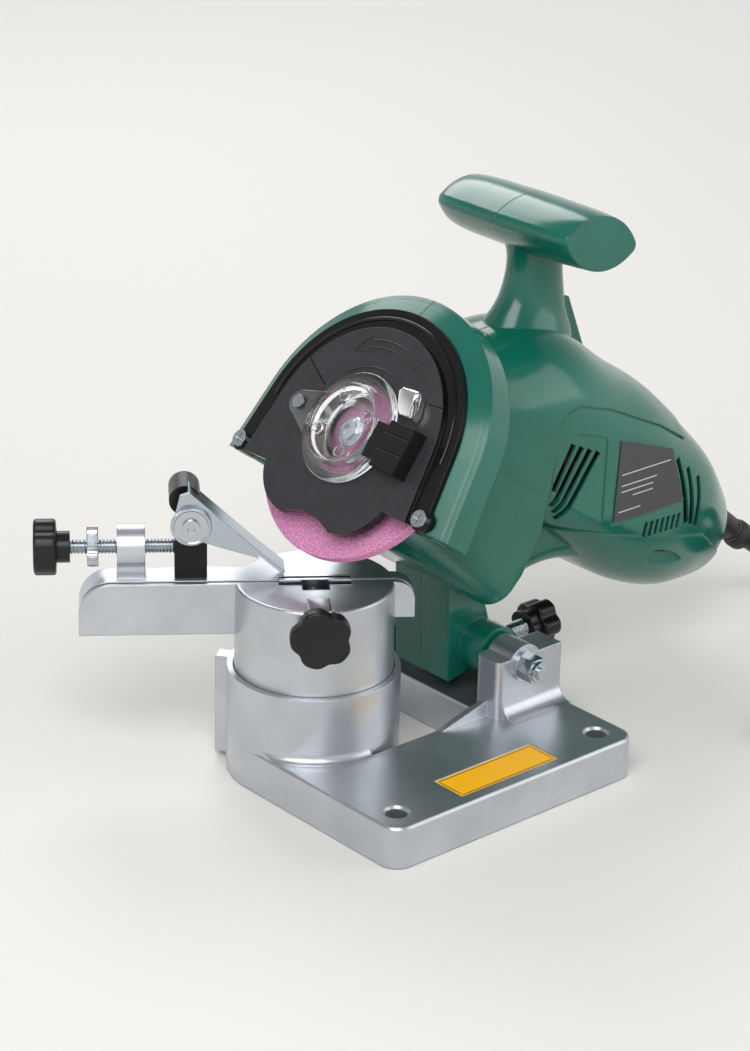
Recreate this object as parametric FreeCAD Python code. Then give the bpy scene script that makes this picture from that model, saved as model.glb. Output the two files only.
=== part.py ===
import FreeCAD, Part
import math
import os

# Electric chain sharpener: a die-cast base with a swivelling chain vise, and a
# grinding head that tilts on a hinge bolt behind the vise.
# Units are millimetres. Origin: midway between the two bench bolt holes, on the underside.
# +X runs along the bolt line towards the motor, +Y from the bolts to the vise, +Z up.

V = FreeCAD.Vector

# ---------------------------------------------------------------- driving dimensions
# base casting
bolt_spacing = 108.4
bolt_hole_r = 4.4
plate_width = 131.4
plate_front = 12.5
strip_depth = 54.0
plate_h = 17.5
plate_wall = 4.0
plate_corner_r = 8.0
rim_chamfer = 0.9
rear_leg_width = 36.7
rear_leg_back = 131.0
# vise socket
vise_y = 77.9
socket_r = 35.2
socket_wall = 2.6
socket_top = 45.0
socket_floor_z = 19.0
socket_floor_t = 4.0
socket_fit = 0.1
# vise turntable, in its own axes: u along the chain bar, w towards the front jaw
swivel_rest = 143.5
vise_top = 81.25
vise_wall = 4.0
bar_length = 94.0
bar_tail = 40.0
bar_height = 21.8
bar_front = 2.6
bar_back = 15.0
bar_end_r = 13.0
tail_height = 15.5
tail_back = 8.0
tail_end_r = 8.0
slot_width = 2.0
slot_depth = 8.0
# chain clamp
jaw_length = 29.0
jaw_height = 14.5
jaw_t = 1.6
jaw_proud = 1.5
jaw_travel = 1.5
clamp_z = 74.0
clamp_screw_r = 3.0
clamp_knob_r = 12.3
clamp_knob_t = 8.0
# chain stop
stop_w = -11.0
stop_z = 92.4
stop_screw_r = 3.0
stop_boss_r = 9.2
stop_boss_u = 67.4
stop_boss_length = 11.2
carrier_u = 42.85
carrier_length = 12.9
pawl_pivot_z = 105.3
grip_r = 6.3
grip_length = 16.0
pawl_hub_r = 8.2
stop_knob_r = 11.7
slide_gap = 0.3
# grinding head
pivot_x = 45.1
pivot_z = 38.0
hinge_bolt_r = 3.0
hinge_nut_flats = 10.0
hinge_collar_r = 4.6
hinge_washer_r = 6.8
barrel_r = 11.0
arm_half = 16.4
web_half = 26.4
ear_gap = 61.0
ear_t = 14.0
ear_top = 42.5
tilt = 36.4
wheel_x = -4.7
wheel_z = 133.9
wheel_r = 50.0
wheel_t = 4.5
wheel_bore_r = 5.0
flange_r = 9.5
flange_rim = 2.0
guard_r = 62.5
guard_front = 7.0
guard_back = 9.3
guard_flare = 8.0
guard_low = -24.0
rim_r = 54.0
wall = 2.5
# drive
gear_module = 1.0
spindle_teeth = 58
pinion_teeth = 26
gear_face = 10.0
gear_x = 27.0
gear_case_low = -33.5
gear_case_half = 38.4
fan_r = 27.0
stator_r = 33.0
motor_start = 52.0
motor_end = 213.0
motor_r = 40.0
stator_length = 38.0
stator_x = 86.0
core_r = 19.0
air_gap = 0.6
armature_shaft_r = 4.0
spindle_r = 5.0
bearing_gap = 0.02
# handle
handle_x = 84.5
handle_z = 208.6
handle_half = 37.5
handle_width = 49.0
handle_height = 25.0
handle_end_share = 0.85
handle_tilt = 13.5
paddle_half = 4.8
paddle_travel = 2.5
# depth stop
depth_z = 27.0
depth_screw_r = 4.0
depth_knob_x = 87.0
depth_knob_r = 10.2
depth_gap = 1.3
# cord
cord_r = 3.5
relief_z = 55.0
relief_length = 38.0
coil_x = 282.0
coil_turn_r = 49.0
coil_columns = 4
plug_length = 36.0
plug_width = 30.0
plug_height = 14.0
pin_spacing = 19.0

# ---------------------------------------------------------------- derived places
bolt_x = bolt_spacing / 2
plate_x = plate_width / 2
strip_y = strip_depth - plate_front
vise_x = socket_r - plate_x
leg_x = plate_x - rear_leg_width
socket_bore_r = socket_r - socket_wall
turn_r = socket_bore_r - socket_fit
centre_distance = gear_module * (spindle_teeth + pinion_teeth) / 2
ear_in = ear_gap / 2
ear_out = ear_in + ear_t
wheel_centre = V(wheel_x, vise_y, wheel_z)
head_place = FreeCAD.Placement(wheel_centre, FreeCAD.Rotation(V(0, 1, 0), tilt))
turn_place = FreeCAD.Placement(V(vise_x, vise_y, 0), FreeCAD.Rotation(V(0, 0, 1), swivel_rest))
nodes = {}


# ---------------------------------------------------------------- shape helpers
def box(x0, x1, y0, y1, z0, z1):
    return Part.makeBox(x1 - x0, y1 - y0, z1 - z0, V(x0, y0, z0))


def rod(r, start, end):
    """Cylinder of radius r from one point to another."""
    along = end - start
    return Part.makeCylinder(r, along.Length, start, along)


def ring(outer, inner, start, end):
    return rod(outer, start, end).cut(rod(inner, start, end))


def fuse(first, *others):
    return first.multiFuse(list(others)).removeSplitter()


def cut(shape, *tools):
    return shape.cut(list(tools))


def group(shapes):
    return Part.makeCompound(list(shapes))


def prism(points, direction):
    """Straight-sided solid on a closed outline."""
    wire = Part.makePolygon(points + [points[0]])
    return Part.Face(wire).extrude(direction)


def face_of(edges):
    return Part.Face(Part.Wire(Part.__sortEdges__(edges)))


def arc(a, b, c):
    return Part.Arc(a, b, c).toShape()


def line(a, b):
    return Part.makeLine(a, b)


def hexagon(across_flats, start, direction):
    """Hexagonal prism on a point, along a direction vector that also gives its length."""
    across = V(0, 0, 1).cross(direction)
    if across.Length < 1e-6:
        across = V(1, 0, 0)
    across.normalize()
    other = V(direction).normalize().cross(across)
    r = across_flats / math.sqrt(3)
    corners = []
    for i in range(6):
        a = math.radians(60 * i)
        corners.append(start + across * (r * math.cos(a)) + other * (r * math.sin(a)))
    return prism(corners, direction)


def lobed(r, lobes, depth, start, direction):
    """Knob with rounded lobes, on an axis from start along direction."""
    axis = V(direction).normalize()
    across = V(0, 0, 1).cross(axis)
    if across.Length < 1e-6:
        across = V(1, 0, 0)
    across.normalize()
    other = axis.cross(across)
    body = rod(r, start, start + direction)
    reach = r * 1.22
    hollows = []
    for i in range(lobes):
        a = math.radians(360 * (i + 0.5) / lobes)
        centre = start + across * (reach * math.cos(a)) + other * (reach * math.sin(a))
        hollows.append(rod(depth + reach - r, centre - direction, centre + direction * 2))
    return cut(body, *hollows)


def edges_near(shape, test):
    return [e for e in shape.Edges if test(e.BoundBox)]


def in_head(shape):
    """Moves a shape from the head's axes (x along the spindle) into the row frame."""
    placed = shape.copy()
    placed.Placement = head_place.multiply(placed.Placement)
    return placed


def in_vise(shape):
    """Moves a shape from the vise's axes (x along the chain bar) into the row frame."""
    placed = shape.copy()
    placed.Placement = turn_place.multiply(placed.Placement)
    return placed


# ---------------------------------------------------------------- base
def plate_outline(inset):
    """L-shaped plate with the socket's quarter at its left; inset shrinks it evenly."""
    strip = box(-plate_x + inset, plate_x - inset, -plate_front + inset, strip_y - inset, 0, plate_h)
    leg = box(leg_x + inset, plate_x - inset, strip_y - 2 * inset - 1, rear_leg_back - inset, 0, plate_h)
    side = box(-plate_x + inset, vise_x, strip_y - 2 * inset - 1, vise_y, 0, plate_h)
    return fuse(strip, leg, side)


def foot_fillet(centre, r, fillet):
    """Concave ring where an upright cylinder meets the plate."""
    z = plate_h
    a = V(centre.x + r - 0.5, centre.y, z - 0.5)
    b = V(centre.x + r + fillet, centre.y, z - 0.5)
    c = V(centre.x + r + fillet, centre.y, z)
    mid = V(centre.x + r + fillet * (1 - math.sqrt(0.5)), centre.y, z + fillet * (1 - math.sqrt(0.5)))
    d = V(centre.x + r, centre.y, z + fillet)
    e = V(centre.x + r - 0.5, centre.y, z + fillet)
    profile = face_of([line(a, b), line(b, c), arc(c, mid, d), line(d, e), line(e, a)])
    return profile.revolve(centre, V(0, 0, 1), 360)


def ear(y0, y1, outward):
    """One hinge ear: an upright block with a round boss, flared at its foot."""
    block = box(leg_x + 1.3, plate_x, y0, y1, plate_h - 1, ear_top)
    block = block.makeFillet(3.0, edges_near(block, lambda b: b.ZLength > 20 and b.XMax < leg_x + 2))
    boss = rod(9.0, V(pivot_x, y0, pivot_z), V(pivot_x, y1, pivot_z))
    foot = 7.0
    y = y0 if outward < 0 else y1
    a = V(leg_x + 4.3, y, plate_h - 0.5)
    b = V(leg_x + 4.3, y + outward * foot, plate_h - 0.5)
    c = V(leg_x + 4.3, y + outward * foot, plate_h)
    k = 1 - math.sqrt(0.5)
    m = V(leg_x + 4.3, y + outward * foot * k, plate_h + foot * k)
    d = V(leg_x + 4.3, y, plate_h + foot)
    profile = face_of([line(a, b), line(b, c), arc(c, m, d), line(d, a)])
    return fuse(block, boss, profile.extrude(V(plate_x - leg_x - 4.3, 0, 0)))


def base_casting():
    socket_c = V(vise_x, vise_y, 0)
    plate = plate_outline(0)
    upright = edges_near(plate, lambda b: b.ZLength > plate_h - 0.1 and b.XLength < 0.1 and b.YMin < 0)
    plate = plate.makeFillet(plate_corner_r, upright)
    back = edges_near(plate, lambda b: b.ZLength > plate_h - 0.1 and b.XLength < 0.1
                      and b.YMin > rear_leg_back - 1)
    plate = plate.makeFillet(plate_corner_r, back)
    rim = edges_near(plate, lambda b: b.ZMin > plate_h - 0.1 and b.YMax < rear_leg_back + 1
                     and (b.YMin < strip_y - 1 or b.XMin > plate_x - 9))
    plate = plate.makeChamfer(rim_chamfer, rim)
    pocket = plate_outline(plate_wall)
    pocket.translate(V(0, 0, -plate_wall))
    front_ear = ear(vise_y - ear_out, vise_y - ear_in, -1)
    back_ear = ear(vise_y + ear_in, vise_y + ear_out, 1)
    web = box(plate_x - 6, plate_x, vise_y - ear_in - 1, vise_y + ear_in + 1, plate_h - 1, depth_z + 7)
    web_boss = rod(8.0, V(plate_x - 6.5, vise_y, depth_z), V(plate_x + 2, vise_y, depth_z))
    solid = fuse(
        plate,
        rod(socket_r, socket_c, socket_c + V(0, 0, socket_top)),
        foot_fillet(socket_c, socket_r, 3.5).common(foot_room()),
        scale_pad(),
        front_ear,
        back_ear,
        web,
        web_boss,
        gusset(),
    )
    posts = []
    for x in (-bolt_x, bolt_x):
        posts.append(rod(bolt_hole_r + 3.5, V(x, 0, 0), V(x, 0, plate_h)))
    hollow = cut(pocket, rod(socket_r, socket_c, socket_c + V(0, 0, plate_h)), *posts)
    below = rod(socket_bore_r, socket_c - V(0, 0, 1), socket_c + V(0, 0, socket_floor_z))
    above = rod(socket_bore_r, socket_c + V(0, 0, socket_floor_z + socket_floor_t),
                socket_c + V(0, 0, socket_top + 1))
    tools = [hollow, below, above, rod(stud_r + 0.3, socket_c, socket_c + V(0, 0, socket_top))]
    for x in (-bolt_x, bolt_x):
        tools.append(rod(bolt_hole_r, V(x, 0, -1), V(x, 0, plate_h + 1)))
        tools.append(Part.makeCone(bolt_hole_r, bolt_hole_r + 1.2, 1.2, V(x, 0, plate_h - 1)))
    tools.append(rod(hinge_bolt_r + 0.05, V(pivot_x, 0, pivot_z), V(pivot_x, 2 * vise_y, pivot_z)))
    depth_start = V(plate_x - 20, vise_y, depth_z)
    tools.append(rod(depth_screw_r + 0.05, depth_start, depth_start + V(40, 0, 0)))
    tools.append(label_pocket())
    return cut(solid, *tools)


def foot_room():
    """Space over the plate's strip and side, inside their chamfer, that the socket's fillet may fill."""
    edge = rim_chamfer
    strip = box(-plate_x + edge, leg_x, edge - plate_front, strip_y - edge, 0, socket_top)
    side = box(-plate_x + edge, vise_x, strip_y - 2 * edge, vise_y, 0, socket_top)
    return fuse(strip, side)


def scale_pad():
    """Flat pad on the socket's back left side that carries the angle scale."""
    pad = box(-3.5, 3.5, socket_r - 4, socket_r + 5, 2, socket_top)
    pad.Placement = FreeCAD.Placement(V(vise_x, vise_y, 0), FreeCAD.Rotation(V(0, 0, 1), 37))
    return pad


def gusset():
    """Triangular web from the plate's back edge to the front ear."""
    y = strip_y - 2.2
    points = [V(leg_x - 24, y, plate_h - 0.5), V(leg_x + 3, y, plate_h - 0.5), V(leg_x + 3, y, plate_h + 7),
              V(leg_x - 24, y, plate_h)]
    return prism(points, V(0, 3, 0))


label_x = 0.0
label_y = 1.3
label_length = 52.0
label_depth = 16.2
label_t = 0.5


def label_pocket():
    return box(label_x - label_length / 2, label_x + label_length / 2, label_y - label_depth / 2,
               label_y + label_depth / 2, plate_h - label_t, plate_h + 1)


def base_label():
    m = 0.2
    return box(label_x - label_length / 2 + m, label_x + label_length / 2 - m, label_y - label_depth / 2 + m,
               label_y + label_depth / 2 - m, plate_h - label_t, plate_h - 0.15)


# ---------------------------------------------------------------- vise turntable
stud_r = 5.0
hub_r = 9.0
pocket_gap = 0.1


def bar_section(u0, u1, height, back, end_r):
    """Chain bar from u0 to u1 with its outer top corner rounded."""
    z0 = vise_top - height
    end = u1 if abs(u1) > abs(u0) else u0
    root = u0 if end == u1 else u1
    side = 1 if end > root else -1
    a = V(root, -back, z0)
    b = V(end, -back, z0)
    c = V(end, -back, vise_top - end_r)
    d = V(end - side * end_r, -back, vise_top)
    k = end_r * (1 - math.sqrt(0.5))
    m = V(end - side * k, -back, vise_top - k)
    e = V(root, -back, vise_top)
    outline = [line(a, b), line(b, c), arc(c, m, d), line(d, e), line(e, a)]
    return face_of(outline).extrude(V(0, back + bar_front, 0))


def vise_turntable():
    drum = Part.makeCone(turn_r, turn_r - 0.6, vise_top - socket_floor_z - socket_floor_t,
                         V(0, 0, socket_floor_z + socket_floor_t))
    top_edge = edges_near(drum, lambda b: b.ZMin > vise_top - 0.1 and b.XLength > 10)
    drum = drum.makeFillet(1.2, top_edge)
    z0 = socket_floor_z + socket_floor_t
    inner_r = turn_r - vise_wall
    inside = Part.makeCone(inner_r, inner_r - 0.6, vise_top - 18 - z0 - 3, V(0, 0, z0 + 3))
    stem = rod(hub_r, V(0, 0, z0), V(0, 0, vise_top - 10))
    inside = inside.cut(stem)
    bar = bar_section(0, bar_length, bar_height, bar_back, bar_end_r)
    tail = bar_section(0, -bar_tail, tail_height, tail_back, tail_end_r)
    boss = fuse(
        rod(stop_boss_r, V(stop_boss_u, stop_w, stop_z), V(stop_boss_u + stop_boss_length, stop_w, stop_z)),
        box(stop_boss_u, stop_boss_u + stop_boss_length, stop_w - 4, stop_w + 7, vise_top - 1, stop_z),
    )
    body = fuse(drum.cut(inside), bar, tail, boss)
    z1 = vise_top - jaw_height + jaw_proud
    half = jaw_length / 2 + pocket_gap
    side = slot_width / 2
    tools = [
        box(-bar_tail - 1, bar_length + 1, -side, side, vise_top - slot_depth, vise_top + 1),
        box(-half, half, -side - jaw_t, side + jaw_t + jaw_travel + 0.2, z1, vise_top + 1),
        box(-5.5, 5.5, 2, 9.5, clamp_z - 4, vise_top + 1),
        rod(clamp_screw_r + 0.1, V(0, 2, clamp_z), V(0, turn_r + 5, clamp_z)),
        box(-6, 6, turn_r - 3.2, turn_r + 2, clamp_z - 7, vise_top + 1),
        rod(stop_screw_r + 0.05, V(stop_boss_u - 1, stop_w, stop_z), V(stop_boss_u + 20, stop_w, stop_z)),
        rod(stud_r, V(0, 0, z0), V(0, 0, z0 + 30)),
    ]
    return in_vise(cut(body, *tools))


def rear_jaw_plate():
    z1 = vise_top - jaw_height + jaw_proud
    w = -slot_width / 2
    return in_vise(box(-jaw_length / 2, jaw_length / 2, w - jaw_t + 0.02, w, z1, z1 + jaw_height))


def front_jaw_plate():
    z1 = vise_top - jaw_height + jaw_proud + 0.05
    w = slot_width / 2
    plate = box(-jaw_length / 2, jaw_length / 2, w, w + jaw_t, z1, z1 + jaw_height)
    return in_vise(plate)


def clamp_bracket():
    """Bent steel saddle let into the drum's front, with the clamp screw's thread."""
    front = box(-4.5, 4.5, turn_r - 3.2, turn_r + 1.4, clamp_z - 7, vise_top)
    lug = box(-4.5, 4.5, turn_r - 12, turn_r + 1.4, vise_top, vise_top + 1.5)
    lug = lug.makeFillet(0.6, edges_near(lug, lambda b: b.ZMin > vise_top + 1.4))
    body = fuse(front, lug)
    return in_vise(cut(body, rod(clamp_screw_r + 0.05, V(0, 20, clamp_z), V(0, 50, clamp_z))))


clamp_gap = 0.05


def clamp_screw():
    start = slot_width / 2 + jaw_t + clamp_gap
    end = turn_r + 1.4 + 2
    pin = rod(clamp_screw_r, V(0, start, clamp_z), V(0, end + 5, clamp_z))
    return in_vise(pin)


def clamp_knob():
    start = turn_r + 1.4 + 1
    knob = lobed(clamp_knob_r, 5, 2.6, V(0, start, clamp_z), V(0, clamp_knob_t, 0))
    return in_vise(knob.cut(rod(clamp_screw_r, V(0, start - 1, clamp_z), V(0, start + 6, clamp_z))))


def turntable_stud():
    top = socket_floor_z + socket_floor_t + 30
    return rod(stud_r, V(vise_x, vise_y, 3.0), V(vise_x, vise_y, top))


def turntable_washer():
    z = socket_floor_z
    return ring(11.0, stud_r + 0.2, V(vise_x, vise_y, z - 1.6), V(vise_x, vise_y, z - 0.05))


def turntable_knob():
    z = socket_floor_z - 1.7
    hub = rod(9.0, V(vise_x, vise_y, z - 4), V(vise_x, vise_y, z))
    grip = lobed(20.0, 6, 2.0, V(vise_x, vise_y, z - 14), V(0, 0, 10.5))
    return fuse(hub, grip).cut(rod(stud_r + 0.05, V(vise_x, vise_y, 2.5), V(vise_x, vise_y, z + 1)))


# ---------------------------------------------------------------- chain stop
def stop_carrier():
    """Slide block on the bar's back wall; it holds the screw's end and the pawl's pivot."""
    u0 = carrier_u
    u1 = carrier_u + carrier_length
    low = vise_top + slide_gap
    eye_r = carrier_length / 2 - 1
    back = pawl_w - pawl_gap - eye_t
    block = box(u0, u1, -bar_back, -4.0, low, stop_z + 5)
    post = box(pawl_u - eye_r, pawl_u + eye_r, back, pawl_w - pawl_gap, stop_z + 4, pawl_pivot_z)
    head = rod(eye_r, V(pawl_u, back, pawl_pivot_z), V(pawl_u, pawl_w - pawl_gap, pawl_pivot_z))
    body = fuse(block, post, head)
    return in_vise(cut(
        body,
        rod(stop_screw_r + 0.05, V(u1 - 8, stop_w, stop_z), V(u1 + 1, stop_w, stop_z)),
        rod(pivot_screw_r, V(pawl_u, -bar_back, pawl_pivot_z), V(pawl_u, 0, pawl_pivot_z)),
    ))


pivot_screw_r = 2.0
pawl_u = carrier_u + carrier_length / 2
pawl_w = -2.4
pawl_t = 1.4
pawl_gap = 0.1
eye_t = 4.5
hub_t = 2.4
tip_u = 12.0
tip_z = vise_top + 3.4
blade_run = 11.0
blade_rise = 9.6
flange_width = 11.0
apex_z = pawl_pivot_z + 13.8


def stop_screw():
    start = carrier_u + carrier_length - 7.9
    end = stop_boss_u + stop_boss_length + 20
    return in_vise(rod(stop_screw_r, V(start, stop_w, stop_z), V(end, stop_w, stop_z)))


def stop_lock_nut():
    u = stop_boss_u + stop_boss_length + 7.3
    nut = ring(8.0, stop_screw_r, V(u, stop_w, stop_z), V(u + 4.6, stop_w, stop_z))
    return in_vise(nut)


def stop_knob():
    u = stop_boss_u + stop_boss_length + 18.6
    hub = rod(6.5, V(u, stop_w, stop_z), V(u + 6, stop_w, stop_z))
    grip = lobed(stop_knob_r, 6, 1.6, V(u + 5.4, stop_w, stop_z), V(9, 0, 0))
    bore = rod(stop_screw_r, V(u - 1, stop_w, stop_z), V(stop_boss_u + stop_boss_length + 20, stop_w, stop_z))
    return in_vise(fuse(hub, grip).cut(bore))


def stop_pawl():
    """Bent sheet lever: web beside the chain, flange on top, blade that meets the cutter."""
    t = pawl_t
    z = pawl_pivot_z
    u = pawl_u
    apex = V(u + 0.7, 0, apex_z)
    bend = V(tip_u + blade_run, 0, tip_z + blade_rise)
    along = (bend - apex).normalize()
    up = V(along.z, 0, -along.x)
    outline = [V(u - 3.9, 0, z - 7.3), V(bend.x - 0.4, 0, bend.z - 3.6), bend, apex,
               V(u + 4.4, 0, z + 12.5), V(u + 7.1, 0, z + 0.5)]
    web = prism([V(p.x, pawl_w, p.z) for p in outline], V(0, t, 0))
    eye = rod(pawl_hub_r - 1, V(u, pawl_w, z), V(u, pawl_w + t, z))
    tip = V(tip_u, 0, tip_z)
    sheet = [apex, bend, tip, tip - up * t, bend - up * t, apex - up * t]
    flange = prism([V(p.x, pawl_w + t, p.z) for p in sheet], V(0, -(t + flange_width), 0))
    hole = rod(pivot_screw_r + 0.08, V(u, pawl_w - 1, z), V(u, pawl_w + 3, z))
    return in_vise(cut(fuse(web, eye, flange), hole))


def pawl_pivot_screw():
    u = pawl_u
    z = pawl_pivot_z
    front = pawl_w + pawl_t + pawl_gap + hub_t + pawl_gap
    shank = rod(pivot_screw_r, V(u, pawl_w - pawl_gap - eye_t, z), V(u, front, z))
    head = rod(3.6, V(u, front, z), V(u, front + 1.8, z))
    socket = hexagon(3.0, V(u, front + 0.6, z), V(0, 3, 0))
    return in_vise(fuse(shank, head).cut(socket))


def pawl_hub():
    """Knurled steel thrust washer in front of the pawl."""
    w = pawl_w + pawl_t + pawl_gap
    z = pawl_pivot_z
    return in_vise(ring(pawl_hub_r, pivot_screw_r + 0.08, V(pawl_u, w, z), V(pawl_u, w + hub_t, z)))


def pawl_grip():
    """Finger grip moulded over the pawl's flange."""
    front = pawl_w - pawl_gap - eye_t - 1.2
    c = V(pawl_u + 2.25, front, apex_z - grip_r)
    grip = in_vise(rod(grip_r, c, c - V(0, grip_length, 0)))
    return biggest(grip.cut(nodes["stop_pawl"]))


# ---------------------------------------------------------------- grinding head shell
def guard_face(x, r, low):
    """Drum outline across the spindle: a round top with flared straight sides."""
    a0 = math.radians(guard_flare)
    y1 = r * math.cos(a0)
    z1 = r * math.sin(a0)
    y0 = y1 + (z1 - low) * math.tan(a0)
    return [line(V(x, y0, low), V(x, y1, z1)), arc(V(x, y1, z1), V(x, 0, r), V(x, -y1, z1)),
            line(V(x, -y1, z1), V(x, -y0, low)), line(V(x, -y0, low), V(x, y0, low))]


def guard_solid(x0, x1, r, low):
    return face_of(guard_face(x0, r, low)).extrude(V(x1 - x0, 0, 0))


def guard_slope(x0, r0, x1, r1, low):
    wires = [Part.Wire(Part.__sortEdges__(guard_face(x, r, low))) for x, r in ((x0, r0), (x1, r1))]
    return Part.makeLoft(wires, True, True)


def rounded_square(x, centre_z, half_y, half_z, top_corner, low_corner):
    """Section of the motor case across the spindle direction."""
    k = math.sqrt(0.5)

    def at(y, z):
        return V(x, y, centre_z + z)

    def corner(side_y, side_z, r):
        a = half_y - r
        b = half_z - r
        return arc(at(side_y * half_y, side_z * b), at(side_y * (a + k * r), side_z * (b + k * r)),
                   at(side_y * a, side_z * half_z))

    top_y = half_y - top_corner
    top_z = half_z - top_corner
    low_y = half_y - low_corner
    low_z = low_corner - half_z
    edges = [corner(1, 1, top_corner), line(at(top_y, half_z), at(-top_y, half_z)), corner(-1, 1, top_corner),
             line(at(-half_y, top_z), at(-half_y, low_z)), corner(-1, -1, low_corner),
             line(at(-low_y, -half_z), at(low_y, -half_z)), corner(1, -1, low_corner),
             line(at(half_y, low_z), at(half_y, top_z))]
    return Part.Wire(Part.__sortEdges__(edges))


def motor_stations():
    """Along the spindle direction: place, rise of the centre, how far the sides and the top draw in,
    and the corner radius below as a share of the section."""
    end = motor_end
    return [(guard_back - 1, -15.0, 9.0, 9.5, 0.90), (guard_back + 20, -9.0, 4.5, 8.0, 0.70),
            (motor_start, -0.5, 0.8, 1.5, 0.45), (stator_x - 6, 1.8, 0.2, 2.0, 0.42),
            (stator_x + 18, 1.8, 0.0, 0.8, 0.50), (stator_x + stator_length, 1.2, 0.0, -0.2, 0.60),
            (end - 67, 0.0, 0.6, 1.0, 0.70), (end - 47, 0.2, 3.0, 4.0, 0.75), (end - 30, 0.6, 8.0, 8.5, 0.80),
            (end - 15, 1.6, 14.5, 14.5, 0.86), (end - 5, 1.6, 20.0, 20.0, 0.90), (end, 1.0, 25.0, 25.0, 0.92)]


def motor_solid(grow):
    """Case round the armature; a negative grow gives the hollow inside its wall."""
    wires = []
    for x, rise, side, top, share in motor_stations():
        half_y = motor_r - side + grow
        half_z = motor_r - top + grow
        small = min(half_y, half_z)
        place = x + grow if x == motor_end else x
        level = centre_distance + rise
        wires.append(rounded_square(place, level, half_y, half_z, 0.94 * small, share * small))
    return Part.makeLoft(wires, True, False)


def gear_case(grow):
    """Body behind the guard: round in front, squarer below towards the ridge beside the motor."""
    g = grow
    low = gear_case_low
    half = gear_case_half
    stations = [(guard_back - 1, low + 7.5, 57.5, half - 8.5, 0.94),
                (guard_back + 10, low + 1.5, 59.5, half - 5.0, 0.90),
                (guard_back + 28, low, 69.0, half - 2.0, 0.66),
                (motor_start + 4, low, 77.5, half, 0.38),
                (motor_start + 27, low, 77.5, half, 0.28)]
    wires = []
    for x, z0, z1, half_y, share in stations:
        wide = half_y + g
        wires.append(rounded_square(x, (z0 + z1) / 2, wide, (z1 - z0) / 2 + g, 0.94 * wide, share * wide))
    body = Part.makeLoft(wires, True, False)
    ridge = [V(0, -60, low - 9), V(73 + g, -60, low - 9), V(73 + g, -60, low), V(76 + g, -60, low + 17),
             V(74 + g, -60, low + 37), V(67 + g, -60, low + 52.5), V(57.5 + g, -60, low + 71.5),
             V(52 + g, -60, 100), V(0, -60, 100)]
    return body.common(prism(ridge, V(0, 120, 0)))


def under_web():
    """Curved web from the gear case's rear foot up to the motor's underside."""
    y = -web_half
    foot = V(82.5, y, -32.5)
    rise = V(93.5, y, -14.0)
    tail = V(122.0, y, 3.0)
    inner = [V(tail.x, y, 16), V(60, y, 16), V(60, y, foot.z)]
    outline = [arc(foot, rise, tail), line(tail, inner[0]), line(inner[0], inner[1]),
               line(inner[1], inner[2]), line(inner[2], foot)]
    web = face_of(outline).extrude(V(0, 2 * web_half, 0))
    curved = edges_near(web, lambda b: b.YLength < 0.1 and b.XLength > 30 and b.ZLength > 30)
    return web.makeFillet(7.0, curved)


def handle_section(y, scale_by):
    """Lens-shaped section of the cross bar, in the row frame."""
    a = math.radians(-handle_tilt)
    hw = handle_width / 2 * scale_by
    hh = handle_height / 2 * (1 + scale_by) / 2
    centre = V(handle_x, vise_y + y, handle_z)

    def put(x, z):
        return centre + V(x * math.cos(a) - z * math.sin(a), 0, x * math.sin(a) + z * math.cos(a))

    front = put(-hw, 0)
    back = put(hw, 0)
    blunt = 0.93
    top = arc(put(-hw * blunt, hh * 0.25), put(0, hh), put(hw * blunt, hh * 0.25))
    low = arc(put(hw * blunt, -hh * 0.25), put(0, -hh), put(-hw * blunt, -hh * 0.25))
    nose = arc(put(-hw * blunt, -hh * 0.25), front, put(-hw * blunt, hh * 0.25))
    tail = arc(put(hw * blunt, hh * 0.25), back, put(hw * blunt, -hh * 0.25))
    return Part.Wire(Part.__sortEdges__([top, low, nose, tail]))


def oval(x, z, half_x, half_y):
    """Horizontal oval section of the stem, in the row frame."""
    major = max(half_x, half_y)
    minor = min(half_x, half_y)
    curve = Part.Ellipse(V(0, 0, 0), major, minor).toShape()
    if half_y > half_x:
        curve.rotate(V(0, 0, 0), V(0, 0, 1), 90)
    curve.translate(V(x, vise_y, z))
    return Part.Wire(curve)


def handle_solid(grow):
    """T handle: a stem that flares into the case, and a lens-shaped cross bar."""
    z = handle_z
    stations = [(z - 59, -9.0, 29, 23), (z - 49, -7.5, 25.5, 18), (z - 42, -5.0, 22.0, 14.5),
                (z - 36.5, -3.0, 18.5, 12.2), (z - 30.5, -1.2, 15.7, 10.9), (z - 22.5, -0.2, 13.4, 10.4),
                (z - 13.5, 0.1, 12.6, 10.4), (z - 8, 0.0, 13.6, 11.6), (z - 3, 0.0, 17.0, 15.0)]
    ovals = [oval(handle_x + dx, level, hx + grow, hy + grow) for level, dx, hx, hy in stations]
    stem = Part.makeLoft(ovals, True, False)
    half = handle_half + grow
    k = 1 + grow / (handle_height / 2)
    end = handle_end_share
    shares = [(-half, end - 0.03), (-half + 1.5, end), (-half * 0.5, end + 0.12), (0, 1.0),
              (half * 0.5, end + 0.12), (half - 1.5, end), (half, end - 0.03)]
    bar = Part.makeLoft([handle_section(y, share * k) for y, share in shares], True, False)
    return fuse(stem, bar)


def hinge_arm(grow):
    """Arm under the gear case, down to the hinge barrel; in the row frame."""
    g = grow
    points = [V(26.6 - g, 0, 92), V(28.9 - g, 0, 24.7 - g), V(pivot_x - 4, 0, pivot_z - barrel_r - g),
              V(pivot_x + barrel_r * 0.85 + g, 0, pivot_z - 4), V(47 + g, 0, 59), V(47 + g, 0, 66),
              V(38, 0, 92)]
    half = arm_half + g
    return prism([V(p.x, vise_y - half, p.z) for p in points], V(0, 2 * half, 0))


def stop_lug():
    """Nib below the hinge barrel that meets the depth screw."""
    face = plate_x - stop_reach - depth_gap
    return box(pivot_x - 2, face, vise_y - 8, vise_y + 8, depth_z - 6, pivot_z)


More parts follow.
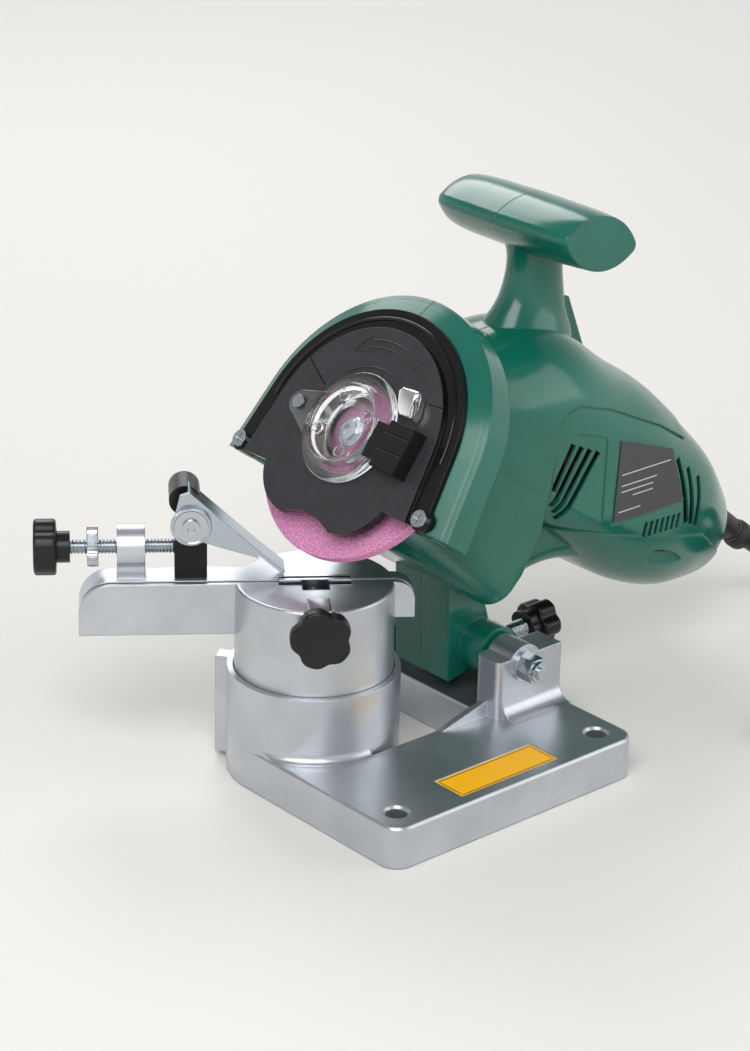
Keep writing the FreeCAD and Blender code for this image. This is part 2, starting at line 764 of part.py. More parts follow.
def barrel():
    half = ear_in - washer_t - 0.2
    return rod(barrel_r, V(pivot_x, vise_y - half, pivot_z), V(pivot_x, vise_y + half, pivot_z))


washer_t = 1.5
pad_t = 2.0


def head_shell():
    """Whole shell of the head, in the row frame, before it is split on its middle plane."""
    outer = fuse(
        in_head(guard_slope(-guard_front, rim_r, -3.0, guard_r, guard_low)),
        in_head(guard_solid(-3.0, guard_back, guard_r, guard_low)),
        in_head(gear_case(0)),
        in_head(under_web()),
        in_head(motor_solid(0)),
        handle_solid(0),
        hinge_arm(0),
        barrel(),
        stop_lug(),
    )
    cavity = fuse(in_head(gear_case(-wall)), in_head(motor_solid(-wall)), handle_solid(-wall))
    cavity = cut(cavity, in_head(box(-20, guard_back, -90, 90, -90, 120)), in_head(bulkheads()),
                 switch_shelf(), *[in_head(boss) for boss in screw_bosses()])
    bore = rod(barrel_r, V(pivot_x, 0, pivot_z), V(pivot_x, 300, pivot_z))
    arm_hollow = cut(hinge_arm(-wall - 0.5), bore, in_head(gear_case(0)))
    deep = guard_low - 20
    chamber = fuse(
        in_head(guard_slope(-guard_front - 0.5, rim_r - wall - 1.0, -3.5, guard_r - wall - 1, deep)),
        in_head(guard_solid(-3.6, guard_back - wall, guard_r - wall, deep)),
    )
    shell = cut(outer, cavity, arm_hollow, chamber)
    return cut(fuse(shell, *cover_bosses()), *head_bores(), *hood_recesses())


def cover_bosses():
    """Posts in the guard's corners that the cover is screwed to."""
    return [in_head(rod(cover_ear_r, V(cover_ear_back, y, cover_screw_z), V(guard_back, y, cover_screw_z)))
            for y in (-cover_screw_y, cover_screw_y)]


spindle_bearing_r = 13.0
spindle_bearing_t = 8.0
spindle_bearing_x = 12.0
rear_spindle_bearing_r = 11.0
rear_spindle_bearing_t = 7.0
rear_spindle_bearing_x = 44.0
front_armature_bearing_x = 44.0
rear_armature_bearing_x = 164.0
armature_bearing_r = 11.0
armature_bearing_t = 7.0
bulkhead_rise = 29.0


def bulkheads():
    """Walls inside the shell that hold the four bearings and the stator."""
    z = centre_distance
    walls = [box(x, x + t, -60, 60, -60, z + bulkhead_rise) for x, t in
             ((guard_back, spindle_bearing_x + spindle_bearing_t - guard_back),
              (rear_spindle_bearing_x, rear_spindle_bearing_t), (rear_armature_bearing_x, armature_bearing_t),
              (stator_x + 3, 3.0), (stator_x + stator_length - 6, 3.0))]
    holes = [rod(stator_r + slide_gap, V(stator_x - 1, 0, z), V(stator_x + stator_length + 1, 0, z))]
    for y in (-26, 26):
        holes.append(rod(7.0, V(40, y, z), V(60, y, z)))
        holes.append(rod(8.0, V(160, y, z), V(180, y, z)))
    return cut(fuse(*walls), *holes)


def head_bores():
    """Bearing seats, shaft holes, the hinge bore and the rest that is cut through the shell."""
    z = centre_distance
    seats = [(spindle_bearing_r, spindle_bearing_x, spindle_bearing_t, 0),
             (rear_spindle_bearing_r, rear_spindle_bearing_x, rear_spindle_bearing_t, 0),
             (armature_bearing_r, front_armature_bearing_x, armature_bearing_t, z),
             (armature_bearing_r, rear_armature_bearing_x, armature_bearing_t, z)]
    tools = [in_head(rod(r, V(x, 0, level), V(x + t, 0, level))) for r, x, t, level in seats]
    tools.append(in_head(rod(9.0, V(0, 0, 0), V(spindle_bearing_x + 10, 0, 0))))
    tools.append(rod(hinge_bolt_r + 0.06, V(pivot_x, 0, pivot_z), V(pivot_x, 2 * vise_y, pivot_z)))
    x0 = relief_x - relief_depth
    for r, start, end in ((relief_seat_r, x0 - 4, relief_face), (relief_flange_r, x0, x0 + relief_flange_t),
                          (relief_foot_r, relief_face, relief_face + 20)):
        tools.append(in_head(rod(r, V(start, 0, relief_z), V(end, 0, relief_z))))
    tools.append(paddle_slot())
    tools.extend(screw_holes())
    for side in (-1, 1):
        front = V(-20, side * cover_screw_y, cover_screw_z)
        tools.append(in_head(rod(cover_screw_r, front, front + V(20 + cover_screw_end, 0, 0))))
        tools.append(in_head(rod(cover_ear_r + 0.1, front, front + V(20 + cover_ear_back, 0, 0))))
        tools.extend(vent_slots(side))
        tools.extend(panel_recesses(side))
    return tools


relief_seat_r = 5.4
relief_flange_r = 7.0
relief_foot_r = 7.2
relief_flange_t = 2.5
relief_depth = 8.0
relief_x = motor_end - 3.0
relief_face = motor_end - 1.5
stop_reach = 9.0


paddle_low = 151.0
paddle_high = 175.0
paddle_in = handle_x + 7.5
switch_z0 = 159.5
switch_t = 10.0


def paddle_slot():
    """Opening in the back of the stem for the switch paddle."""
    gap = 0.2
    half = paddle_half + gap
    return box(paddle_in - paddle_travel - gap, paddle_in + 40, vise_y - half, vise_y + half,
               paddle_low - gap, paddle_high + gap)


def switch_shelf():
    """Floor inside the stem that the switch stands on."""
    return box(handle_x - 12, paddle_in + 1, vise_y - 40, vise_y + 40, switch_z0 - 2.3, switch_z0 - 0.1)


side_panels = [
    [(57.5, 35), (66, 44.5), (84, 50.5), (106, 19), (77, 6.5)],
    [(90.5, 53), (124.5, 63.5), (148.5, 47.0), (111.5, 20.5)],
]
panel_depth = 1.4
hood_depth = 0.7
hood_end = 141.0
hood_low = 27.6
hood_edge = [(54.6, 41.4), (54.4, 48.4), (60.6, 54.7), (80.9, 61.3), (118.5, 68.8), (hood_end, 70.9),
             (hood_end, hood_low), (75.7, 2.4)]


def on_side(points, side, depth, height):
    """Prism on one flat side of the motor case, from inside its wall outwards."""
    y = side * (motor_r - depth)
    return in_head(prism([V(x, y, z) for x, z in points], V(0, side * (height + depth), 0)))


def panel_recesses(side):
    """Shallow sunk panels round the vents and the label, and the oval mark below them."""
    tools = [on_side(points, side, panel_depth, 10) for points in side_panels]
    y = side * (motor_r - 4.6)
    lens = Part.Ellipse(V(0, 0, 0), 13.0, 4.0).toShape()
    lens.rotate(V(0, 0, 0), V(1, 0, 0), 90)
    lens.rotate(V(0, 0, 0), V(0, 1, 0), -9)
    lens.translate(V(motor_end - 56, y, 22.0))
    tools.append(in_head(Part.Face(Part.Wire(lens)).extrude(V(0, side * 20, 0))))
    return tools


def hood_recesses():
    """Shallow step below and behind the hood's edge, following the motor case's own surface."""
    core = motor_solid(-hood_depth)
    rear = prism([V(hood_end, -60, 100), V(motor_end + 20, -60, 100), V(motor_end + 20, -60, 40),
                  V(motor_end - 40, -60, 40), V(hood_end, -60, hood_low)], V(0, 120, 0))
    tools = [in_head(rear.cut(core))]
    for side in (-1, 1):
        flank = prism([V(x, side * 20, z) for x, z in hood_edge], V(0, side * 40, 0))
        tools.append(in_head(flank.cut(core)))
    return tools


def vent_slots(side):
    """Cooling slots in the case: four slanted ones in front, seven short ones and three behind."""
    tools = []
    for i in range(4):
        top = V(67.5 + 5.2 * i, 0, 40.0 + 1.1 * i)
        low = V(69.5 + 4.4 * i, 0, 19.5 - 5.5 * min(i, 1) - 1.5 * max(i - 1, 0))
        tools.append(slot(top, low, 3.4, side))
    for i in range(7):
        top = V(131.0 + 2.9 * i, 0, 30.2 + 1.9 * i)
        low = top + V(2.9, 0, -6.0)
        tools.append(slot(top, low, 1.9, side))
    for i in range(3):
        top = V(motor_end - 79 + 9.5 * i, 0, 60.8 - 0.5 * i)
        low = V(motor_end - 56.5 + 3.8 * i, 0, 39.6 + 0.8 * i)
        tools.append(slot(top, low, 3.0, side))
    return tools


def slot(top, low, width, side):
    """Straight slot through one wall of the case."""
    across = (top - low).cross(V(0, 1, 0)).normalize() * (width / 2)
    y = side * (motor_r - 12.0)
    corners = [top + across, top - across, low - across, low + across]
    return in_head(prism([V(p.x, y, p.z) for p in corners], V(0, side * 20, 0)))


screw_places = [(66.0, -22.0), (motor_start + 81, 74.0), (motor_start + 81, 11.0), (motor_end - 27, 62.0)]
screw_r = 1.6
screw_head_r = 3.4
screw_seat = 16.0
screw_reach = 14.0


def screw_bosses():
    return [rod(5.0, V(x, -screw_reach - 3, z), V(x, 60, z)) for x, z in screw_places]


def screw_holes():
    tools = []
    for x, z in screw_places:
        tools.append(in_head(rod(screw_r, V(x, -screw_reach, z), V(x, 0, z))))
        tools.append(in_head(rod(screw_r + 0.2, V(x, 0, z), V(x, screw_seat, z))))
        tools.append(in_head(rod(screw_head_r + 0.3, V(x, screw_seat, z), V(x, 60, z))))
    return tools


def housing_screws():
    """Self-tapping screws that pull the two halves of the shell together."""
    screws = []
    for x, z in screw_places:
        shank = rod(screw_r, V(x, -screw_reach, z), V(x, screw_seat, z))
        head = rod(screw_head_r, V(x, screw_seat, z), V(x, screw_seat + 2.4, z))
        drive = box(x - 2.2, x + 2.2, screw_seat + 1.2, screw_seat + 3, z - 0.4, z + 0.4)
        cross = box(x - 0.4, x + 0.4, screw_seat + 1.2, screw_seat + 3, z - 2.2, z + 2.2)
        screws.append(in_head(cut(fuse(shank, head), drive, cross)))
    return group(screws)


def housing_halves():
    shell = head_shell()
    keep_low = box(-200, 400, -200, vise_y, -50, 400)
    keep_high = box(-200, 400, vise_y, 400, -50, 400)
    nodes["housing_right"] = biggest(shell.common(keep_low))
    nodes["housing_left"] = biggest(shell.common(keep_high))


def biggest(shape):
    solids = sorted(shape.Solids, key=lambda s: s.Volume)
    return solids[-1]


# ---------------------------------------------------------------- guard cover
cover_t = 2.5
plateau_t = 2.0
cover_screw_y = 54.4
cover_screw_z = -20.0
cover_screw_r = 1.75
cover_screw_end = 6.0
cover_ear_r = 4.6
cover_ear_back = -1.5
lip_half = 35.0
lip_dip_half = 15.0
lip_low = -39.6
seam_width = 0.8
seam_depth = 0.6
window_r = 23.5
window_open_r = 19.0


def cover_edge(x, r):
    """Cover outline: round top, flared sides and a wavy lower lip."""
    a0 = math.radians(guard_flare)
    y1 = r * math.cos(a0)
    z1 = r * math.sin(a0)
    low = guard_low + 0.5
    y0 = y1 + (z1 - low) * math.tan(a0)
    lip = lip_half
    dip = lip_dip_half
    deep = lip_low
    return [
        line(V(x, y0, low), V(x, y1, z1)),
        arc(V(x, y1, z1), V(x, 0, r), V(x, -y1, z1)),
        line(V(x, -y1, z1), V(x, -y0, low)),
        line(V(x, -y0, low), V(x, -lip, low)),
        arc(V(x, -lip, low), V(x, -28, -34), V(x, -dip, deep)),
        arc(V(x, -dip, deep), V(x, 0, -36), V(x, dip, deep)),
        arc(V(x, dip, deep), V(x, 28, -34), V(x, lip, low)),
        line(V(x, lip, low), V(x, y0, low)),
    ]


def guard_cover():
    front = -guard_front - cover_t
    plate = face_of(cover_edge(front, rim_r - 0.2)).extrude(V(cover_t, 0, 0))
    plateau = face_of(cover_edge(front - plateau_t, rim_r - 9)).extrude(V(plateau_t, 0, 0))
    ears = []
    pin = V(front - 5, window_pin_y, window_pin_z)
    bores = [rod(window_open_r, V(-30, 0, 1.5), V(5, 0, 1.5)), rod(window_pin_r, pin, pin + V(10, 0, 0))]
    for y in (-cover_screw_y, cover_screw_y):
        ears.append(rod(cover_ear_r, V(front, y, cover_screw_z), V(cover_ear_back, y, cover_screw_z)))
        bores.append(rod(cover_screw_r, V(front - 1, y, cover_screw_z), V(1, y, cover_screw_z)))
    seams = [seam_groove((41.8, 22.9), (24.5, 13.5)), seam_groove((-31.4, 22.1), (-43.3, 22.7))]
    body = fuse(plate, plateau, *ears)
    return in_head(cut(body, *bores, *seams))


def seam_groove(start, end):
    """Narrow groove in the cover's raised face between two places (y, z)."""
    face = -guard_front - cover_t - plateau_t
    a = V(face - 1, *start)
    b = V(face - 1, *end)
    across = (b - a).cross(V(1, 0, 0)).normalize() * (seam_width / 2)
    return prism([a + across, b + across, b - across, a - across], V(1 + seam_depth, 0, 0))


def cover_screws():
    front = -guard_front - cover_t
    screws = []
    for y in (-cover_screw_y, cover_screw_y):
        head = rod(3.5, V(front - 2.0, y, cover_screw_z), V(front, y, cover_screw_z))
        shank = rod(cover_screw_r, V(front, y, cover_screw_z), V(cover_screw_end, y, cover_screw_z))
        cross = fuse(box(front - 3, front - 0.9, y - 2.2, y + 2.2, cover_screw_z - 0.4, cover_screw_z + 0.4),
                     box(front - 3, front - 0.9, y - 0.4, y + 0.4, cover_screw_z - 2.2, cover_screw_z + 2.2))
        screws.append(in_head(fuse(head, shank).cut(cross)))
    return group(screws)


window_front = -guard_front - cover_t - plateau_t - 0.1
window_pin_y = 31.0
window_pin_z = 3.0
window_pin_r = 1.5


def viewing_window():
    """Clear cap over the hub: a flange, a raised dome, a pivot ear and a catch tab."""
    x = window_front
    c = V(x, 0, 1.5)
    flange = rod(window_r, V(x - 1.8, 0, 1.5), c)
    ear_pad = fuse(rod(5.0, V(x - 1.8, window_pin_y, window_pin_z), V(x, window_pin_y, window_pin_z)),
                   box(x - 1.8, x, 18, window_pin_y, window_pin_z - 5, window_pin_z + 5))
    tab = box(x - 1.8, x, -31, -14, 12.0, 21.5)
    dome = rod(17.0, V(x - 6.5, 0, 1.5), c)
    body = fuse(flange, ear_pad, tab, dome)
    hollow = rod(15.2, V(x - 4.7, 0, 1.5), V(x + 1, 0, 1.5))
    pin = rod(window_pin_r + 0.1, V(x - 5, window_pin_y, window_pin_z), V(x + 5, window_pin_y, window_pin_z))
    return in_head(cut(body, hollow, pin))


def window_pivot():
    x = window_front
    back = x + plateau_t + 0.1
    shank = rod(window_pin_r, V(x - 2.0, window_pin_y, window_pin_z), V(back, window_pin_y, window_pin_z))
    head = rod(2.8, V(x - 2.9, window_pin_y, window_pin_z), V(x - 1.9, window_pin_y, window_pin_z))
    return in_head(fuse(shank, head))


def window_latch():
    """Sliding catch that holds the window's tab down."""
    x = window_front
    block = box(x - 8.0, x, -39.0, -25.5, -9.5, 10.0)
    step = box(x - 6.0, x - 2.1, -26.0, -17.5, -7.0, 8.0)
    grooves = [box(x - 9, x - 7.5, -40, -25, z - 0.4, z + 0.4) for z in (-2.0, 5.0)]
    return in_head(cut(fuse(block, step), *grooves))


# ---------------------------------------------------------------- drive train
def tooth_outline(teeth, thin):
    """Points of one involute tooth about +Z, from root to root, as (angle, radius) pairs."""
    pitch = gear_module * teeth / 2
    base = pitch * math.cos(math.radians(20))
    tip = pitch + gear_module * 0.92
    root = pitch - gear_module * 1.3
    pitch_roll = math.tan(math.acos(base / pitch)) - math.acos(base / pitch)
    half = (math.pi / 2 * gear_module - thin) / 2 / pitch
    flank = []
    steps = 5
    start = max(base, root)
    for i in range(steps + 1):
        r = start + (tip - start) * i / steps
        inv = math.tan(math.acos(min(1.0, base / r))) - math.acos(min(1.0, base / r))
        flank.append((half + pitch_roll - inv, r))
    points = [(-flank[0][0], root)]
    points += [(-a, r) for a, r in flank]
    points += [(a, r) for a, r in reversed(flank)]
    points += [(flank[0][0], root)]
    return points


def gear(teeth, x0, x1, z, phase, thin):
    """Spur gear about the head's x axis at height z; phase turns the first tooth from +Z."""
    corners = []
    for i in range(teeth):
        turn = phase + 2 * math.pi * i / teeth
        for a, r in tooth_outline(teeth, thin):
            corners.append(V(x0, r * math.sin(turn + a), z + r * math.cos(turn + a)))
    return prism(corners, V(x1 - x0, 0, 0))


def spindle_gear():
    body = gear(spindle_teeth, gear_x, gear_x + gear_face, 0, 0, 0.16)
    webs = []
    for side in (gear_x - 1, gear_x + gear_face - 2.5):
        webs.append(ring(24.0, 11.0, V(side, 0, 0), V(side + 3.5, 0, 0)))
    return in_head(cut(body, rod(7.0, V(gear_x - 1, 0, 0), V(gear_x + gear_face + 1, 0, 0)), *webs))


def armature_pinion():
    phase = math.pi / pinion_teeth + math.pi
    body = gear(pinion_teeth, gear_x - 0.5, gear_x + gear_face + 0.5, centre_distance, phase, 0.16)
    start = V(gear_x - 2, 0, centre_distance)
    return in_head(body.cut(rod(armature_shaft_r, start, start + V(gear_face + 4, 0, 0))))


def spindle():
    """Stepped shaft: wheel seat, shoulder, bearing seats and gear seat."""
    a = wheel_t / 2 + 4.0
    parts = [
        rod(spindle_r, V(-wheel_t / 2 - 2.6, 0, 0), V(spindle_bearing_x + spindle_bearing_t, 0, 0)),
        rod(8.0, V(a, 0, 0), V(spindle_bearing_x - 0.1, 0, 0)),
        rod(7.0, V(spindle_bearing_x + spindle_bearing_t, 0, 0), V(gear_x + gear_face + 3, 0, 0)),
        rod(4.0, V(gear_x + gear_face, 0, 0), V(rear_spindle_bearing_x + rear_spindle_bearing_t + 1, 0, 0)),
    ]
    tap = rod(2.5, V(-20, 0, 0), V(4, 0, 0))
    return in_head(fuse(*parts).cut(tap))


def wheel_screw():
    x = -wheel_t / 2 - 4.5
    head = hexagon(10.0, V(x, 0, 0), V(-4.0, 0, 0))
    washer = rod(6.5, V(x, 0, 0), V(x - 0.8, 0, 0))
    shank = rod(2.5, V(x, 0, 0), V(3.5, 0, 0))
    socket = hexagon(5.0, V(x - 5, 0, 0), V(2.6, 0, 0))
    return in_head(fuse(head, washer, shank).cut(socket))


def grinding_wheel():
    """Abrasive disc with its rounded rim and bore."""
    disc = rod(wheel_r, V(-wheel_t / 2, 0, 0), V(wheel_t / 2, 0, 0))
    disc = disc.makeFillet(0.6, edges_near(disc, lambda b: b.YLength > 2 * wheel_r - 1 and b.XLength < 0.1))
    return in_head(disc.cut(rod(wheel_bore_r + 0.02, V(-9, 0, 0), V(9, 0, 0))))


def outer_flange():
    x = -wheel_t / 2
    body = ring(flange_r, 2.6, V(x - 4.5, 0, 0), V(x, 0, 0))
    pocket = rod(spindle_r + 0.05, V(x - 2.7, 0, 0), V(x + 1, 0, 0))
    relief = ring(flange_r + 1, flange_r - flange_rim, V(x - 5, 0, 0), V(x - 3.0, 0, 0))
    return in_head(cut(body, pocket, relief))


def inner_flange():
    x = wheel_t / 2
    body = ring(flange_r, spindle_r, V(x, 0, 0), V(x + 4.0, 0, 0))
    return in_head(body)


def bearing(x, z, bore, outer, t):
    """Ball bearing as one ring with a groove between its races."""
    body = ring(outer - bearing_gap, bore + bearing_gap, V(x, 0, z), V(x + t, 0, z))
    lo = bore + (outer - bore) * 0.36
    hi = bore + (outer - bore) * 0.68
    grooves = [ring(hi, lo, V(end - 1, 0, z), V(end + 1, 0, z)) for end in (x, x + t)]
    return in_head(cut(body, *grooves))


def armature_shaft():
    z = centre_distance
    return in_head(rod(armature_shaft_r, V(gear_x - 1.5, 0, z), V(rear_armature_bearing_x + 8, 0, z)))


def armature_core():
    """Laminated rotor with winding slots and round winding heads."""
    z = centre_distance
    x0 = stator_x + 1
    x1 = stator_x + stator_length - 1
    core = rod(core_r, V(x0, 0, z), V(x1, 0, z))
    slots = []
    count = 12
    for i in range(count):
        a = 2 * math.pi * i / count
        c = V(0, (core_r - 1) * math.sin(a), z + (core_r - 1) * math.cos(a))
        slots.append(rod(1.6, c + V(x0 - 1, 0, 0), c + V(x1 + 1, 0, 0)))
    body = cut(core, *slots)
    heads = [rod(core_r - 4, V(x0 - 8, 0, z), V(x0, 0, z)), rod(core_r - 4, V(x1, 0, z), V(x1 + 8, 0, z))]
    bore = rod(armature_shaft_r, V(x0 - 10, 0, z), V(x1 + 10, 0, z))
    return in_head(fuse(body, *heads).cut(bore))


commutator_x = 138.0
commutator_length = 15.0
commutator_r = 11.5


def commutator():
    z = centre_distance
    start = V(commutator_x, 0, z)
    body = ring(commutator_r, armature_shaft_r, start, start + V(commutator_length, 0, 0))
    cuts = []
    bars = 24
    for i in range(bars):
        a = 360 * i / bars
        notch = box(commutator_x - 1, commutator_x + commutator_length - 2, -0.3, 0.3,
                    commutator_r - 0.8, commutator_r + 1)
        notch.rotate(V(0, 0, 0), V(1, 0, 0), a)
        notch.translate(V(0, 0, z))
        cuts.append(notch)
    return in_head(cut(body, *cuts))


def cooling_fan():
    z = centre_distance
    x0 = 56.0
    disc = rod(fan_r, V(x0, 0, z), V(x0 + 1.6, 0, z))
    hub = rod(9.0, V(x0, 0, z), V(x0 + 10, 0, z))
    blades = []
    count = 12
    for i in range(count):
        blade = box(x0 + 1, x0 + 9, -0.7, 0.7, 8, fan_r - 1)
        blade.rotate(V(0, 0, 18), V(1, 0, 0), 24)
        blade.rotate(V(0, 0, 0), V(1, 0, 0), 360 * i / count)
        blade.translate(V(0, 0, z))
        blades.append(blade)
    bore = rod(armature_shaft_r, V(x0 - 1, 0, z), V(x0 + 20, 0, z))
    return in_head(fuse(disc, hub, *blades).cut(bore))


def stator_core():
    z = centre_distance
    x1 = stator_x + stator_length
    body = ring(stator_r, core_r + air_gap, V(stator_x, 0, z), V(x1, 0, z))
    windows = []
    for y in (-1, 1):
        w = box(stator_x - 1, x1 + 1, 14, 28, z - 11, z + 11)
        if y < 0:
            w = box(stator_x - 1, x1 + 1, -28, -14, z - 11, z + 11)
        windows.append(w)
    return in_head(cut(body, *windows))


def field_coils():
    """Two wound coils beside the rotor, through the core's windows."""
    z = centre_distance
    coils = []
    for y0, y1 in ((-27.5, -21.0), (21.0, 27.5)):
        coils.append(in_head(box(stator_x - 7, stator_x + stator_length + 7, y0, y1, z - 10.5, z + 10.5)))
    return group(coils)


def brush_pair(inner, outer, half):
    z = centre_distance
    x = commutator_x + commutator_length / 2
    shapes = []
    for side in (-1, 1):
        lo = min(side * inner, side * outer)
        hi = max(side * inner, side * outer)
        shapes.append(box(x - half, x + half, lo, hi, z - half, z + half))
    return shapes


def carbon_brushes():
    z = centre_distance
    x = commutator_x + commutator_length / 2
    arcs = rod(commutator_r + 0.1, V(x - 9, 0, z), V(x + 9, 0, z))
    return group([in_head(b.cut(arcs)) for b in brush_pair(8.0, 24.0, 3.0)])


def brush_holders():
    outer = brush_pair(13.5, motor_r - wall - 1.0, 4.5)
    inner = brush_pair(13.0, 30.0, 3.05)
    return group([in_head(o.cut(i)) for o, i in zip(outer, inner)])


# ---------------------------------------------------------------- switch and label
def switch_paddle():
    """Sprung switch lever standing out of the stem's back."""
    points = [V(paddle_in, 0, paddle_low), V(handle_x + 26.0, 0, paddle_low),
              V(handle_x + 16.0, 0, paddle_high), V(paddle_in, 0, paddle_high)]
    return prism([V(p.x, vise_y - paddle_half, p.z) for p in points], V(0, 2 * paddle_half, 0))


def switch_body():
    """Boxed switch on its shelf, just in front of the paddle."""
    front = paddle_in - paddle_travel - 0.3
    return box(front - switch_t, front, vise_y - 6.5, vise_y + 6.5, switch_z0, switch_z0 + 14)


def motor_label():
    """Thin plate in the case's label panel."""
    points = side_panels[1]
    middle_x = sum(x for x, z in points) / len(points)
    middle_z = sum(z for x, z in points) / len(points)
    share = 0.93
    inset = [(middle_x + (x - middle_x) * share, middle_z + (z - middle_z) * share) for x, z in points]
    plate = prism([V(x, -motor_r + panel_depth, z) for x, z in inset], V(0, -0.5, 0))
    return in_head(plate)


# ---------------------------------------------------------------- hinge and depth stop
def hinge_bolt():
    y0 = vise_y - ear_out - washer_t - 9.4
    y1 = vise_y + ear_out + washer_t
    shank = rod(hinge_bolt_r, V(pivot_x, y0, pivot_z), V(pivot_x, y1, pivot_z))
    head = hexagon(hinge_nut_flats, V(pivot_x, y1, pivot_z), V(0, 4.4, 0))
    return fuse(shank, head)


def hinge_nut():
    y = vise_y - ear_out - washer_t
    nut = hexagon(hinge_nut_flats, V(pivot_x, y, pivot_z), V(0, -6.0, 0))
    collar = rod(hinge_collar_r, V(pivot_x, y - 6, pivot_z), V(pivot_x, y - 8.2, pivot_z))
    return fuse(nut, collar).cut(rod(hinge_bolt_r, V(pivot_x, y + 1, pivot_z), V(pivot_x, y - 9, pivot_z)))


def hinge_washers():
    rings = []
    for y in (-ear_out - washer_t, -ear_in, ear_in - washer_t, ear_out):
        start = V(pivot_x, vise_y + y, pivot_z)
        rings.append(ring(hinge_washer_r, hinge_bolt_r + 0.1, start, start + V(0, washer_t, 0)))
    return group(rings)


def depth_pad():
    """Nylon tip on the depth screw's end."""
    x0 = plate_x - stop_reach
    return rod(depth_screw_r - 1, V(x0, vise_y, depth_z), V(x0 + pad_t, vise_y, depth_z))


def depth_screw():
    """Threaded rod through the bracket's web, with its knob behind."""
    x0 = plate_x - stop_reach + pad_t
    return rod(depth_screw_r, V(x0, vise_y, depth_z), V(depth_knob_x + 8, vise_y, depth_z))


def depth_knob():
    x = depth_knob_x
    hub = rod(7.5, V(x, vise_y, depth_z), V(x + 5, vise_y, depth_z))
    grip = lobed(depth_knob_r, 5, 2.0, V(x + 4.5, vise_y, depth_z), V(9.5, 0, 0))
    return fuse(hub, grip).cut(rod(depth_screw_r, V(x - 1, vise_y, depth_z), V(x + 8, vise_y, depth_z)))


def depth_lock_nut():
    x = plate_x + 2.1
    nut = hexagon(13.0, V(x, vise_y, depth_z), V(5, 0, 0))
    return nut.cut(rod(depth_screw_r + 0.05, V(x - 1, vise_y, depth_z), V(x + 6, vise_y, depth_z)))


# ---------------------------------------------------------------- cord
def strain_relief():
    """Tapered rubber sleeve with a collar, seated in the case's rear end."""
    z = relief_z
    x0 = relief_x - relief_depth
    face = relief_face
    end = relief_x + relief_length
    collar = end - 9.0
    parts = [rod(relief_seat_r, V(x0, 0, z), V(face, 0, z)),
             rod(relief_flange_r, V(x0, 0, z), V(x0 + relief_flange_t, 0, z)),
             Part.makeCone(relief_foot_r, 5.4, collar - face, V(face, 0, z), V(1, 0, 0)),
             rod(6.6, V(collar, 0, z), V(collar + 5.0, 0, z)),
             Part.makeCone(5.0, 4.4, end - collar - 5, V(collar + 5, 0, z), V(1, 0, 0))]
    return in_head(fuse(*parts))


def cord_exit():
    """Centre of the sleeve's end face, and the direction in which the cord leaves it."""
    start = head_place.multVec(V(relief_x + relief_length, 0, relief_z))
    return start, head_place.Rotation.multVec(V(1, 0, 0))


def tube(points, r):
    """Round tube on straight runs joined by tangent arcs; prints its radii, length and volume."""
    edges = []
    radii = []
    last = points[0]
    for before, corner, after in zip(points, points[1:], points[2:]):
        into = corner - before
        out = after - corner
        half_turn = into.getAngle(out) / 2
        reach = 0.45 * min(into.Length, out.Length)
        radii.append(reach / math.tan(half_turn))
        into.normalize()
        out.normalize()
        a = corner - into * reach
        c = corner + out * reach
        bisector = (out - into).normalize()
        middle = corner + bisector * (radii[-1] / math.cos(half_turn) - radii[-1])
        edges += [line(last, a), arc(a, middle, c)]
        last = c
    edges.append(line(last, points[-1]))
    spine = Part.Wire(edges)
    along = points[1] - points[0]
    section = Part.Wire(Part.makeCircle(r, points[0], along))
    solid = spine.makePipeShell([section], True, False, 1)
    share = solid.Volume / (math.pi * r * r * spine.Length)
    print("tube length", round(spine.Length, 1), "volume share", round(share, 4))
    print("radii", [round(value, 1) for value in radii])
    return solid


def coil_centre():
    start = cord_exit()[0]
    return V(coil_x, start.y - coil_turn_r, 0)


def lead_points():
    """From the sleeve down to the surface and into the coil's outer turn."""
    start, along = cord_exit()
    return [start, start + along * 20.0, V(start.x + 34.5, start.y + 0.3, 6.2), V(coil_x, start.y, cord_r)]


def tail_points():
    """From the coil's upper outer turn to the plug beside it."""
    c = coil_centre()
    r = coil_turn_r - cord_r
    level = cord_r + 2 * cord_r * math.sqrt(0.75)
    middle = plug_height / 2
    return [V(c.x, c.y - r, level), V(c.x - 20, c.y - r - 1.5, level), V(c.x - 40, c.y - r - 8.5, middle + 0.6),
            V(c.x - 60, c.y - r - 12.5, middle), V(c.x - 80, c.y - r - 13.5, middle)]


def cord_coil():
    """Outer shape of the wound cord: a wide lower layer and a narrower upper one in its grooves."""
    c = coil_centre()
    outer = coil_turn_r + cord_r
    inner = coil_turn_r - 2 * cord_r * (coil_columns - 1) - cord_r
    step = 2 * cord_r
    rise = step * math.sqrt(0.75)
    points = [V(inner, 0, 0), V(outer, 0, 0), V(outer, 0, step), V(outer - cord_r, 0, step),
              V(outer - cord_r, 0, step + rise), V(inner + cord_r, 0, step + rise), V(inner + cord_r, 0, step),
              V(inner, 0, step)]
    profile = Part.Face(Part.makePolygon(points + [points[0]]))
    coil = profile.revolve(V(0, 0, 0), V(0, 0, 1), 360)
    coil.translate(c)
    return coil


def cord_lead():
    return tube(lead_points(), cord_r).cut(nodes["cord_coil"])


def cord_tail():
    return tube(tail_points(), cord_r).cut(nodes["cord_coil"])


